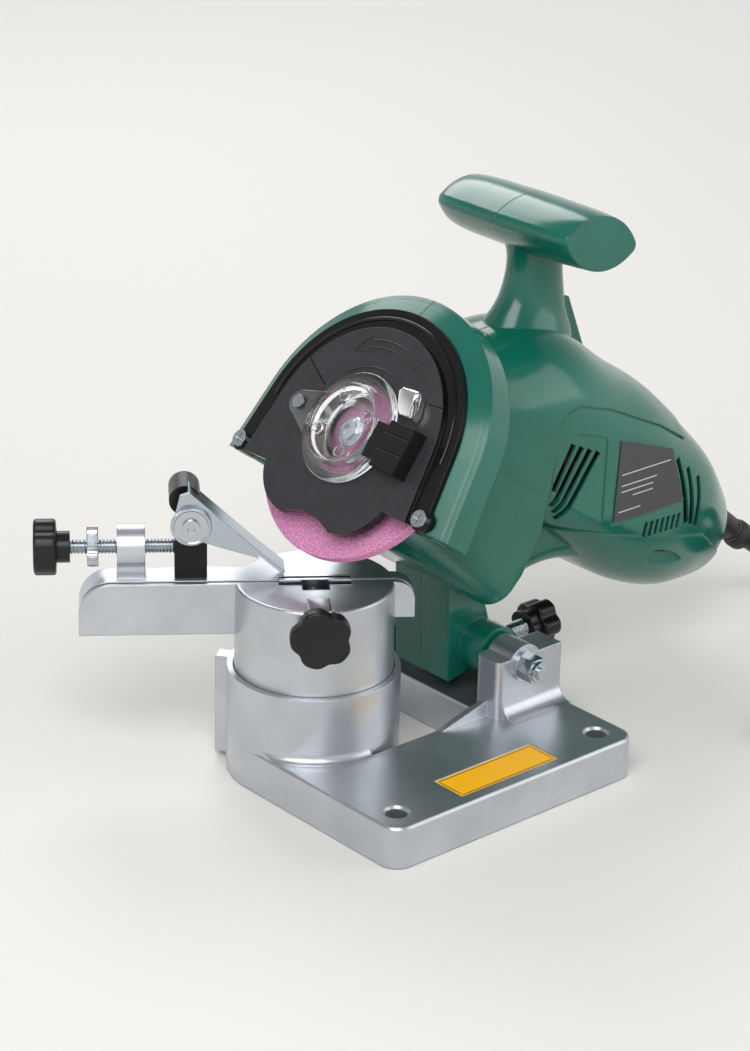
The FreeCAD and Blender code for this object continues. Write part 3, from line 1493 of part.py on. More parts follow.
def plug():
    """Flat two-pin plug with a ribbed tail, lying beside the coil."""
    before, end = tail_points()[-2:]
    along = (end - before).normalize()
    turn = math.degrees(math.atan2(along.y, along.x))
    half = plug_width / 2
    tail = Part.makeCone(4.6, 5.6, 18.0, V(0, 0, 0), V(1, 0, 0))
    body = prism([V(18, -7, 0), V(26, -half, 0), V(18 + plug_length, -half, 0), V(18 + plug_length, half, 0),
                  V(26, half, 0), V(18, 7, 0)], V(0, 0, plug_height))
    body.translate(V(0, 0, -plug_height / 2))
    body = body.makeFillet(2.5, edges_near(body, lambda b: b.ZLength < 0.1 or b.XLength < 0.1))
    pins = []
    for y in (-pin_spacing / 2, pin_spacing / 2):
        start = V(17 + plug_length, y, 0)
        pins.append(rod(2.0, start, start + V(20, 0, 0)))
    shape = fuse(body, tail, *pins)
    shape.Placement = FreeCAD.Placement(end, FreeCAD.Rotation(V(0, 0, 1), turn))
    return shape


# ---------------------------------------------------------------- build
def build():
    nodes["base_casting"] = base_casting()
    nodes["base_label"] = base_label()
    nodes["vise_turntable"] = vise_turntable()
    nodes["rear_jaw_plate"] = rear_jaw_plate()
    nodes["front_jaw_plate"] = front_jaw_plate()
    nodes["clamp_bracket"] = clamp_bracket()
    nodes["clamp_screw"] = clamp_screw()
    nodes["clamp_knob"] = clamp_knob()
    nodes["turntable_stud"] = turntable_stud()
    nodes["turntable_washer"] = turntable_washer()
    nodes["turntable_knob"] = turntable_knob()
    nodes["stop_carrier"] = stop_carrier()
    nodes["stop_screw"] = stop_screw()
    nodes["stop_lock_nut"] = stop_lock_nut()
    nodes["stop_knob"] = stop_knob()
    nodes["stop_pawl"] = stop_pawl()
    nodes["pawl_pivot_screw"] = pawl_pivot_screw()
    nodes["pawl_hub"] = pawl_hub()
    nodes["pawl_grip"] = pawl_grip()
    housing_halves()
    nodes["guard_cover"] = guard_cover()
    nodes["cover_screws"] = cover_screws()
    nodes["viewing_window"] = viewing_window()
    nodes["window_pivot"] = window_pivot()
    nodes["window_latch"] = window_latch()
    nodes["grinding_wheel"] = grinding_wheel()
    nodes["outer_flange"] = outer_flange()
    nodes["inner_flange"] = inner_flange()
    nodes["wheel_screw"] = wheel_screw()
    nodes["spindle"] = spindle()
    nodes["spindle_gear"] = spindle_gear()
    nodes["front_spindle_bearing"] = bearing(spindle_bearing_x, 0, spindle_r, spindle_bearing_r,
                                             spindle_bearing_t)
    nodes["rear_spindle_bearing"] = bearing(rear_spindle_bearing_x, 0, 4.0, rear_spindle_bearing_r,
                                            rear_spindle_bearing_t)
    nodes["armature_shaft"] = armature_shaft()
    nodes["armature_core"] = armature_core()
    nodes["commutator"] = commutator()
    nodes["cooling_fan"] = cooling_fan()
    nodes["armature_pinion"] = armature_pinion()
    nodes["armature_bearings"] = group([bearing(x, centre_distance, armature_shaft_r, armature_bearing_r,
                                                armature_bearing_t)
                                        for x in (front_armature_bearing_x, rear_armature_bearing_x)])
    nodes["stator_core"] = stator_core()
    nodes["field_coils"] = field_coils()
    nodes["brush_holders"] = brush_holders()
    nodes["carbon_brushes"] = carbon_brushes()
    nodes["switch_body"] = switch_body()
    nodes["switch_paddle"] = switch_paddle()
    nodes["motor_label"] = motor_label()
    nodes["hinge_bolt"] = hinge_bolt()
    nodes["hinge_nut"] = hinge_nut()
    nodes["hinge_washers"] = hinge_washers()
    nodes["depth_pad"] = depth_pad()
    nodes["depth_screw"] = depth_screw()
    nodes["depth_knob"] = depth_knob()
    nodes["depth_lock_nut"] = depth_lock_nut()
    nodes["housing_screws"] = housing_screws()
    nodes["strain_relief"] = strain_relief()
    nodes["cord_coil"] = cord_coil()
    nodes["cord_lead"] = cord_lead()
    nodes["cord_tail"] = cord_tail()
    nodes["plug"] = plug()


build()
os.makedirs("parts", exist_ok=True)
for name, shape in nodes.items():
    shape.exportStep("parts/" + name + ".step")
    print(name, len(shape.Solids), round(shape.Volume, 1), shape.isValid())
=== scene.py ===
import math

import bpy
from mathutils import Matrix, Vector


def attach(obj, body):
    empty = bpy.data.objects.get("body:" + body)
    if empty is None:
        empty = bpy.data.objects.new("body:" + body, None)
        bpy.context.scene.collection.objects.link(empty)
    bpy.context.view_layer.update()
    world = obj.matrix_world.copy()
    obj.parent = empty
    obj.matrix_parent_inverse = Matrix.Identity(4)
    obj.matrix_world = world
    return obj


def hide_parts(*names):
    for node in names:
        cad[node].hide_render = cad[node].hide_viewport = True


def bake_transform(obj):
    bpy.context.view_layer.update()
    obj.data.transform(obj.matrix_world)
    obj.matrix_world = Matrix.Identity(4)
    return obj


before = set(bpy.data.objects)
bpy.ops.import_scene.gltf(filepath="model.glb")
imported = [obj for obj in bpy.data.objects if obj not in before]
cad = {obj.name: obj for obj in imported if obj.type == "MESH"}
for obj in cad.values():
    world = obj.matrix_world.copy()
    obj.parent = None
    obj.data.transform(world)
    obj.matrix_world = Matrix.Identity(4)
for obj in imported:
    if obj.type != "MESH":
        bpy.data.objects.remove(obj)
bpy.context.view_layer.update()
mm = 0.001
print("frame loaded:", len(cad), "nodes")


# places in mm and degrees: the head leans about +Y, the vise is swivelled about +Z
headLean = 36.4
headCentre = Vector((-4.7, 77.9, 133.9))
headTurn = Matrix.Rotation(math.radians(headLean), 3, "Y")
viseSwivel = 143.5
viseCentre = Vector((-30.5, 77.9, 0))
viseTurn = Matrix.Rotation(math.radians(viseSwivel), 3, "Z")
alongX, alongY, alongZ = (1, 0, 0), (0, 1, 0), (0, 0, 1)


def headPoint(x, y, z):
    return (headCentre + headTurn @ Vector((x, y, z))) * mm


def headWay(x, y, z):
    return headTurn @ Vector((x, y, z))


def visePoint(u, w, z):
    return (viseCentre + viseTurn @ Vector((u, w, z))) * mm


def viseWay(u, w, z):
    return viseTurn @ Vector((u, w, z))


def standOn(point, axis, across):
    z = Vector(axis).normalized()
    y = z.cross(Vector(across)).normalized()
    x = y.cross(z)
    turn = Matrix((x, y, z)).transposed().to_4x4()
    return Matrix.Translation(point) @ turn


def onVise(at, way):
    return standOn(visePoint(*at), viseWay(*way), alongZ)


def onFoot(at, way):
    return standOn(Vector(at) * mm, way, alongZ)


def onCover(x, y, z):
    return standOn(headPoint(x, y, z), headWay(-1, 0, 0), headWay(*alongZ))


def addObject(name, data):
    made = bpy.data.objects.new(name, data)
    bpy.context.scene.collection.objects.link(made)
    return made


# camera: angles in degrees, lengths in mm
cameraSet = {"azimuth": 41.68, "elevation": 22.74, "roll": 1.33, "distance": 1233.45,
             "target": (11.58, 90.01, 90.0), "lens": 103.35, "sensor": 36.0}


def addCamera(values):
    az, el, roll = (math.radians(values[k]) for k in ("azimuth", "elevation", "roll"))
    right = Vector((math.cos(az), -math.sin(az), 0))
    depth = Vector((math.sin(az) * math.cos(el), math.cos(az) * math.cos(el), -math.sin(el)))
    up = right.cross(depth)
    across = right * math.cos(roll) + up * math.sin(roll)
    upward = up * math.cos(roll) - right * math.sin(roll)
    data = bpy.data.cameras.new("camera")
    data.lens = values["lens"]
    data.sensor_width = values["sensor"]
    data.clip_end = 20.0  # metres, well past the far edge of the floor
    made = addObject("camera", data)
    turn = Matrix((across, upward, -depth)).transposed().to_4x4()
    eye = (Vector(values["target"]) - depth * values["distance"]) * mm
    made.matrix_world = Matrix.Translation(eye) @ turn
    bpy.context.scene.camera = made


addCamera(cameraSet)


# materials
white = (1, 1, 1, 1)


def hexColour(code):
    parts = [int(code[i:i + 2], 16) / 255 for i in (1, 3, 5)]
    return [c / 12.92 if c <= 0.04045 else ((c + 0.055) / 1.055) ** 2.4 for c in parts] + [1.0]


def perMm(size):
    return 1000.0 / size  # texture scale for a pattern of this size, as object space is in metres


def addNode(tree, kind, settings=None, links=None):
    node = tree.nodes.new("ShaderNode" + kind)
    for key, value in (settings or {}).items():
        if isinstance(key, int) or key in node.inputs:
            node.inputs[key].default_value = value
        else:
            setattr(node, key, value)
    for key, source in (links or {}).items():
        tree.links.new(source, node.inputs[key])
    return node


def startMaterial(name, colour, roughness, metallic=0.0, extra=None):
    material = bpy.data.materials.new(name)
    material.use_nodes = True
    tree = material.node_tree
    tree.nodes.clear()
    settings = {"Base Color": hexColour(colour), "Roughness": roughness, "Metallic": metallic}
    shader = addNode(tree, "BsdfPrincipled", {**settings, **(extra or {})})
    addNode(tree, "OutputMaterial", links={"Surface": shader.outputs[0]})
    where = addNode(tree, "TexCoord").outputs["Object"]
    return material, tree, shader, where


def noise(tree, where, size, detail=3.0):
    settings = {"Scale": perMm(size), "Detail": detail}
    return addNode(tree, "TexNoise", settings, {"Vector": where}).outputs[0]


def spread(tree, source, low, high):
    return addNode(tree, "MapRange", {3: low, 4: high}, {0: source}).outputs[0]


def tint(tree, source, first, second, low=0.35, high=0.65):
    ramp = addNode(tree, "ValToRGB", links={0: source})
    for stop, place, colour in zip(ramp.color_ramp.elements, (low, high), (first, second)):
        stop.position = place
        stop.color = hexColour(colour)
    return ramp.outputs[0]


def relief(tree, shader, height, strength, depth, edge=0.0):
    settings = {"Strength": strength, "Distance": depth * mm}
    bump = addNode(tree, "Bump", settings, {"Height": height})
    if edge:
        soft = addNode(tree, "Bevel", {"samples": 4, "Radius": edge * mm})
        tree.links.new(soft.outputs[0], bump.inputs["Normal"])
    tree.links.new(bump.outputs[0], shader.inputs["Normal"])


# the three layers that most finishes share; sizes, depths and edges in mm
def mottle(tree, shader, where, size, first, second, detail=3.0):
    cloud = noise(tree, where, size, detail)
    tree.links.new(tint(tree, cloud, first, second), shader.inputs["Base Color"])


def polish(tree, shader, where, size, low, high):
    tree.links.new(spread(tree, noise(tree, where, size), low, high), shader.inputs["Roughness"])


def grain(tree, shader, where, size, strength, depth, edge=0.0, detail=3.0):
    relief(tree, shader, noise(tree, where, size, detail), strength, depth, edge)


def addFinish(name, colour, roughness, metallic=0.0, extra=None, clouds=None, gloss=None,
              bumps=None):
    material, *parts = startMaterial(name, colour, roughness, metallic, extra)
    for layer, values in ((mottle, clouds), (polish, gloss), (grain, bumps)):
        if values:
            layer(*parts, **values)
    return material


def coverPlastic():
    # glass-filled nylon, fine-textured face with a polished black rim
    material, tree, shader, where = startMaterial(
        "texturedMouldedNylon", "#323236", 0.4, 0.0, {"IOR": 1.53, "Specular IOR Level": 0.36})
    rimFrom = -10.9  # where the rim's face begins, along the head's axis
    local = addNode(tree, "VectorMath", {"operation": "SUBTRACT", 1: headCentre * mm},
                    {0: where}).outputs[0]
    depth = addNode(tree, "VectorMath", {"operation": "DOT_PRODUCT", 1: headWay(*alongX)},
                    {0: local}).outputs["Value"]
    rim = addNode(tree, "Math", {"operation": "GREATER_THAN", 1: rimFrom * mm},
                  {0: depth}).outputs[0]
    face = tint(tree, noise(tree, where, size=6.0), "#303034", "#35353a")
    colour = addNode(tree, "Mix", {"data_type": "RGBA", 7: hexColour("#0a0a0b")},
                     {0: rim, 6: face})
    tree.links.new(colour.outputs[2], shader.inputs["Base Color"])
    sheen = spread(tree, rim, low=0.4, high=0.16)  # of the face, of the rim
    tree.links.new(sheen, shader.inputs["Roughness"])
    grain(tree, shader, where, size=0.35, strength=0.16, depth=0.03, edge=0.5)
    return material


def aluminiumOxide():
    # vitrified pink aluminium oxide, 100 grit: sugary grains of about 0.15 mm, drawn at 0.5 mm
    material, tree, shader, where = startMaterial("vitrifiedPinkAluminiumOxide", "#dc86b8", 0.85)
    sugar = noise(tree, where, size=0.5, detail=2.0)
    pinks = tint(tree, sugar, "#c4639f", "#f3b4d8", low=0.36, high=0.66)
    tree.links.new(pinks, shader.inputs["Base Color"])
    relief(tree, shader, sugar, strength=0.5, depth=0.2)
    return material


def bands(tree, where, size, distortion=0.0):
    # the node repeats once in 2 pi times the size, so the bands stand that much too far apart
    settings = {"Scale": perMm(size) / 20, "Distortion": distortion}
    return addNode(tree, "TexWave", settings, {"Vector": where}).outputs[1]


def windings():
    # enamelled copper wire of 0.6 mm, laid side by side: brown bands, drawn 3.8 mm apart; the
    # browns are darkened below the copper's own colour as painted shade for the coils deep in the
    # housing
    material, tree, shader, where = startMaterial("enamelledCopperWire", "#a4582c", 0.3, 0.85)
    wires = bands(tree, where, size=0.6, distortion=1.5)
    # the bands run from a dark to a mid copper brown: the wire's colour with painted shade, so the
    # coils look dark through the vents
    shadedCopperBrowns = tint(tree, wires, "#5e2d15", "#8f4f28", low=0.2, high=0.8)
    tree.links.new(shadedCopperBrowns, shader.inputs["Base Color"])
    relief(tree, shader, wires, strength=0.4, depth=0.2)
    return material


def laminations():
    # stacked 0.5 mm electrical steel, varnished: grey stripes along the motor, drawn 3.1 mm apart
    material, tree, shader, where = startMaterial("laminatedElectricalSteel", "#5d5f63", 0.4, 0.9)
    turn = addNode(tree, "Mapping", {"Rotation": (0, -math.radians(headLean), 0)},
                   {"Vector": where})
    sheets = bands(tree, turn.outputs[0], size=0.5)
    greys = tint(tree, sheets, "#4a4c50", "#72757a")
    tree.links.new(greys, shader.inputs["Base Color"])
    return material


def printedFilm(name, colour):
    # printed polyester film: even ink under a satin laminate
    return addFinish(name, colour, 0.36,
                     gloss={"size": 3.0, "low": 0.3, "high": 0.42},
                     bumps={"size": 0.8, "strength": 0.06, "depth": 0.02})


def plainMetal(name, colour, roughness):
    # turned brass or ground steel: small even tool marks
    return addFinish(name, colour, roughness, 1.0,
                     gloss={"size": 1.2, "low": roughness - 0.06, "high": roughness + 0.08})


def plainPlastic(name, colour, roughness):
    # pressed carbon or moulded nylon: dull with a fine grain
    return addFinish(name, colour, roughness,
                     bumps={"size": 0.6, "strength": 0.2, "depth": 0.04, "edge": 0.2})


finish = {
    # die-cast aluminium under silver lacquer: satin mid grey, soft reflections, bright edges
    "cast": addFinish("lacqueredCastAluminium", "#c4c8cd", 0.32, 0.9,
                      clouds={"size": 22.0, "first": "#bec2c8", "second": "#caced3",
                              "detail": 4.0},
                      gloss={"size": 7.0, "low": 0.27, "high": 0.38},
                      bumps={"size": 1.3, "strength": 0.08, "depth": 0.04, "edge": 0.9}),
    # bright zinc plate on turned steel: bluish, nearly mirror, faint tool marks
    "zinc": addFinish("zincPlatedTurnedSteel", "#bcc3c9", 0.19, 1.0,
                      gloss={"size": 1.6, "low": 0.14, "high": 0.28},
                      bumps={"size": 0.5, "strength": 0.08, "depth": 0.03, "edge": 0.25}),
    # zinc-nickel plate on bent sheet: cool grey, half mirror, soft bends
    "plated": addFinish("platedBentSheet", "#b4bec7", 0.2, 1.0,
                        gloss={"size": 9.0, "low": 0.16, "high": 0.28},
                        bumps={"size": 4.0, "strength": 0.06, "depth": 0.1, "edge": 0.6}),
    # black oxide on milled steel: dark with a dull metal glint
    "oxide": addFinish("blackOxideSteel", "#1c1c1e", 0.42, 0.6,
                       gloss={"size": 2.0, "low": 0.35, "high": 0.5},
                       bumps={"size": 0.6, "strength": 0.1, "depth": 0.03, "edge": 0.3}),
    # injection-moulded ABS from a polished tool: deep green, wet gloss, faint orange peel
    "green": addFinish("polishedMouldedAbs", "#0e6253", 0.17, extra={"IOR": 1.54},
                       clouds={"size": 40.0, "first": "#0d5e4f", "second": "#106757"},
                       gloss={"size": 12.0, "low": 0.13, "high": 0.22},
                       bumps={"size": 3.5, "strength": 0.05, "depth": 0.12, "edge": 1.2,
                              "detail": 1.0}),
    "cover": coverPlastic(),
    # moulded ABS knobs: black with a soft highlight and a fine grain
    "knob": addFinish("mouldedBlackAbs", "#101012", 0.3,
                      extra={"IOR": 1.54, "Specular IOR Level": 0.34},
                      gloss={"size": 2.5, "low": 0.27, "high": 0.42},
                      bumps={"size": 0.4, "strength": 0.12, "depth": 0.03, "edge": 0.4}),
    # moulded clear polycarbonate: bright edges, faint flow lines
    "clear": addFinish("mouldedClearPolycarbonate", "#f6f8f8", 0.03,
                       extra={"IOR": 1.58, "Transmission Weight": 1.0},
                       bumps={"size": 6.0, "strength": 0.04, "depth": 0.1, "detail": 1.0}),
    "abrasive": aluminiumOxide(),
    "yellow": printedFilm("printedYellowFilm", "#ffbd14"),
    "grey": printedFilm("printedGreyFilm", "#3b3a3f"),
    "paleInk": printedFilm("screenPrintedPaleInk", "#b9b9bb"),
    "darkInk": printedFilm("screenPrintedDarkInk", "#22211d"),
    # moulded PVC rubber of the sleeve and plug: black, dull, slightly dusty
    "rubber": addFinish("mouldedBlackPvc", "#1b1b1d", 0.5,
                        clouds={"size": 5.0, "first": "#18181a", "second": "#222224"},
                        bumps={"size": 0.7, "strength": 0.15, "depth": 0.04, "edge": 0.3}),
    # extruded PVC sheath: smooth black with an uneven satin shine
    "sheath": addFinish("extrudedPvcSheath", "#17171a", 0.38,
                        gloss={"size": 4.0, "low": 0.32, "high": 0.46},
                        bumps={"size": 1.0, "strength": 0.05, "depth": 0.03}),
    "copper": windings(),
    "core": laminations(),
    "brass": plainMetal("turnedBrass", "#b8924c", 0.28),
    "gearSteel": plainMetal("groundGearSteel", "#8d9094", 0.3),
    "carbon": plainPlastic("pressedCarbon", "#1d1d1f", 0.55),
    "nylon": plainPlastic("mouldedWhiteNylon", "#dcdad2", 0.45),
}
print("materials made:", len(finish))


# CAD nodes: finish by node, smooth shading up to an angle, and small rounded edges
nodeFinish = {
    "cast": ["base_casting", "vise_turntable"],
    "zinc": ["rear_jaw_plate", "front_jaw_plate", "clamp_screw", "clamp_bracket",
             "turntable_stud", "turntable_washer", "stop_screw", "stop_lock_nut",
             "pawl_pivot_screw", "pawl_hub", "cover_screws", "window_pivot", "outer_flange",
             "inner_flange", "wheel_screw", "spindle", "front_spindle_bearing",
             "rear_spindle_bearing", "armature_shaft", "armature_bearings", "hinge_bolt",
             "hinge_nut", "hinge_washers", "depth_screw", "depth_lock_nut", "housing_screws"],
    "plated": ["stop_pawl"],
    "oxide": ["stop_carrier"],
    "green": ["housing_right", "housing_left", "switch_paddle"],
    "cover": ["guard_cover"],
    "knob": ["clamp_knob", "turntable_knob", "stop_knob", "pawl_grip", "window_latch",
             "switch_body", "depth_knob", "cooling_fan"],
    "clear": ["viewing_window"],
    "abrasive": ["grinding_wheel"],
    "yellow": ["base_label"],
    "grey": ["motor_label"],
    "rubber": ["strain_relief", "plug"],
    "sheath": ["cord_lead", "cord_coil", "cord_tail"],
    "copper": ["field_coils", "commutator"],
    "core": ["armature_core", "stator_core"],
    "gearSteel": ["spindle_gear", "armature_pinion"],
    "brass": ["brush_holders"],
    "carbon": ["carbon_brushes"],
    "nylon": ["depth_pad"],
}
# widths of the rounded edges in mm
bevelled = {"window_latch": 0.5, "stop_carrier": 0.5, "stop_pawl": 0.3, "hinge_nut": 0.4,
            "hinge_bolt": 0.4, "depth_lock_nut": 0.4, "guard_cover": 0.5, "viewing_window": 0.35,
            "clamp_bracket": 0.3, "cover_screws": 0.25, "pawl_grip": 0.7, "switch_paddle": 0.8,
            "plug": 0.3, "turntable_knob": 0.8}
# degrees: faces blend up to smoothUpTo, and edges from bevelSet's angle on are rounded
smoothUpTo = {"housing_right": 32, "housing_left": 32, "others": 28}
bevelSet = {"from": 40, "segments": 3}


def dressNode(name, material, values):
    node = cad[name]
    node.data.materials.clear()
    node.data.materials.append(material)
    node.data.shade_smooth()
    smooth = smoothUpTo.get(name, smoothUpTo["others"])
    node.data.set_sharp_from_angle(angle=math.radians(smooth))
    if name in bevelled:
        bevel = node.modifiers.new("edges", "BEVEL")
        bevel.width = bevelled[name] * mm
        bevel.segments = values["segments"]
        bevel.angle_limit = math.radians(values["from"])
        bevel.harden_normals = True


for kind, names in nodeFinish.items():
    for name in names:
        dressNode(name, finish[kind], bevelSet)
print("nodes dressed:", sum(len(names) for names in nodeFinish.values()))


# mesh helpers
def addPiece(name, verts, faces, material, body, slot, stands=(), sharp=35, place=None):
    mesh = bpy.data.meshes.new(name)
    moved = [place @ Vector(v) for v in verts] if place else verts
    mesh.from_pydata([tuple(v) for v in moved], [], faces)
    mesh.validate()
    mesh.update()
    mesh.shade_smooth()
    mesh.set_sharp_from_angle(angle=math.radians(sharp))
    mesh.materials.append(material)
    made = addObject(name, mesh)
    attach(made, body)
    if stands:
        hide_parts(*stands)


def rings(rows, closed=False):
    # skin over rows of points: capped at both ends, or joined end to end when closed
    verts = [v for row in rows for v in row]
    count = len(rows[0])
    faces = []
    last = len(rows) if closed else len(rows) - 1
    for i in range(last):
        a, b = i * count, ((i + 1) % len(rows)) * count
        for j in range(count):
            k = (j + 1) % count
            faces.append((a + j, a + k, b + k, b + j))
    if not closed:
        faces.append(tuple(reversed(range(count))))
        faces.append(tuple(range(len(verts) - count, len(verts))))
    return verts, faces


def turned(profile, steps, wave=None):
    # (radius, height) points in mm turned about the axis; wave(angle, r, h) changes the radius
    rows = []
    for r, h in profile:
        row = []
        for i in range(steps):
            a = 2 * math.pi * i / steps
            d = wave(a, r, h) if wave else r
            row.append((d * math.cos(a) * mm, d * math.sin(a) * mm, h * mm))
        rows.append(row)
    return rows


def shifted(profile, by):
    return [(r, h + by) for r, h in profile]


def roundedProfile(r, h0, h1, edge, steps):
    bend = [k * math.pi / 2 / steps for k in range(steps + 1)]
    lower = [(r - edge + edge * math.sin(a), h0 + edge - edge * math.cos(a)) for a in bend]
    upper = [(r - edge + edge * math.cos(a), h1 - edge + edge * math.sin(a)) for a in bend]
    return lower + upper


def arc(radius, first, last, steps, centre=(0.0, 0.0)):
    points = []
    for k in range(steps + 1):
        a = math.radians(first + (last - first) * k / steps)
        points.append((centre[0] + radius * math.cos(a), centre[1] + radius * math.sin(a)))
    return points


# cord: from the sleeve down to the surface, into the stored coil beside the tool, and out to
# the plug; the coil's lower and upper lists hold one radius a turn, length is in metres
cordSet = {"radius": 3.5, "leaves": (248.0, 0, 55.0), "straight": 20.0,
           "landing": (34.5, 0.3, 6.2), "coilCentre": (282.0, 28.9),
           "lower": (49.0, 42.0, 35.0, 28.0), "upper": (31.5, 38.5, 45.5),
           "lowLevel": 3.5, "highLevel": 9.7, "hump": 10.6, "stepsPerTurn": 16,
           "shiftFrom": 0.75, "humpUpTo": 0.13, "length": 1.7,
           "tail": ((0, 0, 9.6), (-20, -1.5, 9.6), (-40, -8.5, 7.6), (-60, -12.5, 7.0),
                    (-80, -13.5, 7.0))}


def coilPoints(values):
    cx, cy = values["coilCentre"]
    points = []
    steps, shiftFrom = values["stepsPerTurn"], values["shiftFrom"]
    lower, upper = values["lower"], values["upper"]
    turns = len(lower) + len(upper) - 0.5
    for i in range(1, int(turns * steps)):
        turn = i / steps
        k = int(turn)
        share = turn - k
        shift = max(0.0, (share - shiftFrom) / (1 - shiftFrom))
        if k < len(lower):
            after = lower[k + 1] if k + 1 < len(lower) else upper[0]
            r = lower[k] + (after - lower[k]) * shift
            z = values["lowLevel"]
            if k + 1 == len(lower):
                z += (values["hump"] - z) * shift
        else:
            j = k - len(lower)
            after = upper[min(j + 1, len(upper) - 1)]
            r = upper[j] + (after - upper[j]) * shift
            crossing = shift > 0 or share < values["humpUpTo"]
            z = values["hump"] if crossing else values["highLevel"]
        a = math.pi / 2 - 2 * math.pi * turn
        points.append((cx + r * math.cos(a), cy + r * math.sin(a), z))
    return points


def cordRoute(values):
    start = headPoint(*values["leaves"]) / mm
    way = headWay(*alongX)
    cx, cy = values["coilCentre"]
    dx, dy, z = values["landing"]
    lead = [tuple(start), tuple(start + way * values["straight"]),
            (start.x + dx, start.y + dy, z), (cx, start.y, values["lowLevel"])]
    south = cy - values["upper"][-1]
    tail = [(cx + dx, south + dy, z) for dx, dy, z in values["tail"]]
    return lead + coilPoints(values) + tail


def splineObject(name, points):
    curve = bpy.data.curves.new(name, "CURVE")
    curve.dimensions = "3D"
    curve.resolution_u = 6
    spline = curve.splines.new("NURBS")
    spline.points.add(len(points) - 1)
    for point, place in zip(spline.points, points):
        point.co = (place[0] * mm, place[1] * mm, place[2] * mm, 1.0)
    spline.order_u = 3
    spline.use_endpoint_u = True
    curve.bevel_resolution = 5
    curve.use_fill_caps = True
    return addObject(name, curve)


def meshOf(source):
    bpy.context.view_layer.update()
    graph = bpy.context.evaluated_depsgraph_get()
    return bpy.data.meshes.new_from_object(source.evaluated_get(graph))


def addCord(values):
    route = cordRoute(values)
    line = splineObject("cordLine", route)
    path = [tuple(v.co) for v in meshOf(line).vertices]
    line.data.bevel_depth = values["radius"] * mm
    mesh = meshOf(line)
    bpy.data.objects.remove(line)
    mesh.name = "mainsCord"
    mesh.materials.clear()
    mesh.materials.append(finish["sheath"])
    mesh.shade_smooth()
    made = addObject("mainsCord", mesh)
    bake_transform(made)
    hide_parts("cord_lead", "cord_coil", "cord_tail")
    total = sum((Vector(b) - Vector(a)).length for a, b in zip(path, path[1:]))
    print("cord laid, metres:", round(total, 3))


addCord(cordSet)


# strain relief: smooth tapered sleeve, two flex grooves and a thick collar; the rows are
# (radius, distance) from the housing's face, a groove's start, the collar's start and the end
reliefSet = {"face": 211.5, "end": 248.0, "z": 55.0, "collarLength": 9.0, "taper": (5.9, -8.0),
             "grooves": 2, "grooveFrom": -6.6, "grooveStep": 3.2,
             "faceRows": ((5.3, -9.4), (5.3, 0), (7.2, 0), (7.25, 1.5), (6.6, 3.0), (6.3, 8.0)),
             "grooveRows": ((5.7, 0), (5.0, 0.4), (5.0, 1.2), (5.7, 1.6)),
             "collarRows": ((6.2, -0.3), (6.6, 0.3), (6.6, 4.5), (6.2, 5.0), (5.0, 5.2)),
             "endRows": ((4.5, -0.6), (4.1, 0), (3.4, 0))}


def addStrainRelief(values):
    collar = values["end"] - values["collarLength"]
    profile = shifted(values["faceRows"], values["face"]) + shifted([values["taper"]], collar)
    for i in range(values["grooves"]):
        groove = collar + values["grooveFrom"] + values["grooveStep"] * i
        profile += shifted(values["grooveRows"], groove)
    profile += shifted(values["collarRows"], collar) + shifted(values["endRows"], values["end"])
    verts, faces = rings(turned(profile, steps=40))
    place = standOn(headPoint(0, 0, values["z"]), headWay(*alongX), headWay(*alongZ))
    addPiece("strainSleeve", verts, faces, finish["rubber"], "head", "black_rubber",
             stands=["strain_relief"], sharp=40, place=place)


addStrainRelief(reliefSet)


# knobs: rounded lobes with a shallow dish in the face, given as share of radius and depth
knobDish = ((0.72, 0.0), (0.62, 0.35), (0.3, 0.5))
stepsPerLobe = 20
clampKnobSet = {"at": (0, 34.9, 74.0), "radius": 12.3, "depth": 1.7, "lobes": 5, "turn": 0.3,
                "hub": 6.0, "from": 1.4, "to": 8.0, "edge": 1.3, "notch": 2.2}
stopKnobSet = {"at": (97.2, -11.0, 92.4), "radius": 11.7, "depth": 1.5, "lobes": 6, "turn": 0.0,
               "hub": 6.5, "from": 5.4, "to": 14.4, "edge": 1.3, "notch": 2.0}
depthKnobSet = {"at": (87.0, 77.9, 27.0), "radius": 10.2, "depth": 2.0, "lobes": 5, "turn": 0.3,
                "hub": 7.5, "from": 4.5, "to": 14.0, "edge": 1.4, "notch": 2.0}


def addKnob(name, place, values, body, node):
    radius, depth, lobes = values["radius"], values["depth"], values["lobes"]

    def wave(a, r, h):
        dip = 0.5 - 0.5 * math.cos(lobes * (a - values["turn"]))
        return max(0.2, r - depth * dip ** values["notch"] * min(1.0, (r / radius) ** 3))

    low, high = values["from"], values["to"]
    profile = [(values["hub"], 0.0), (values["hub"], low - 0.3), (radius * 0.8, low)]
    profile += roundedProfile(radius, low, high, values["edge"], steps=5)
    profile += [(radius * share, high - dip) for share, dip in knobDish]
    profile.append((0.6, high - knobDish[-1][1]))
    verts, faces = rings(turned(profile, lobes * stepsPerLobe, wave))
    addPiece(name, verts, faces, finish["knob"], body, "black_plastic", stands=[node], sharp=50,
             place=place)


addKnob("clampLobeKnob", onVise(clampKnobSet["at"], alongY), clampKnobSet, "clamp",
        "clamp_knob")
addKnob("stopLobeKnob", onVise(stopKnobSet["at"], alongX), stopKnobSet, "stop_adjuster",
        "stop_knob")
addKnob("depthLobeKnob", onFoot(depthKnobSet["at"], alongX), depthKnobSet, "depth_adjuster",
        "depth_knob")
print("knobs turned")


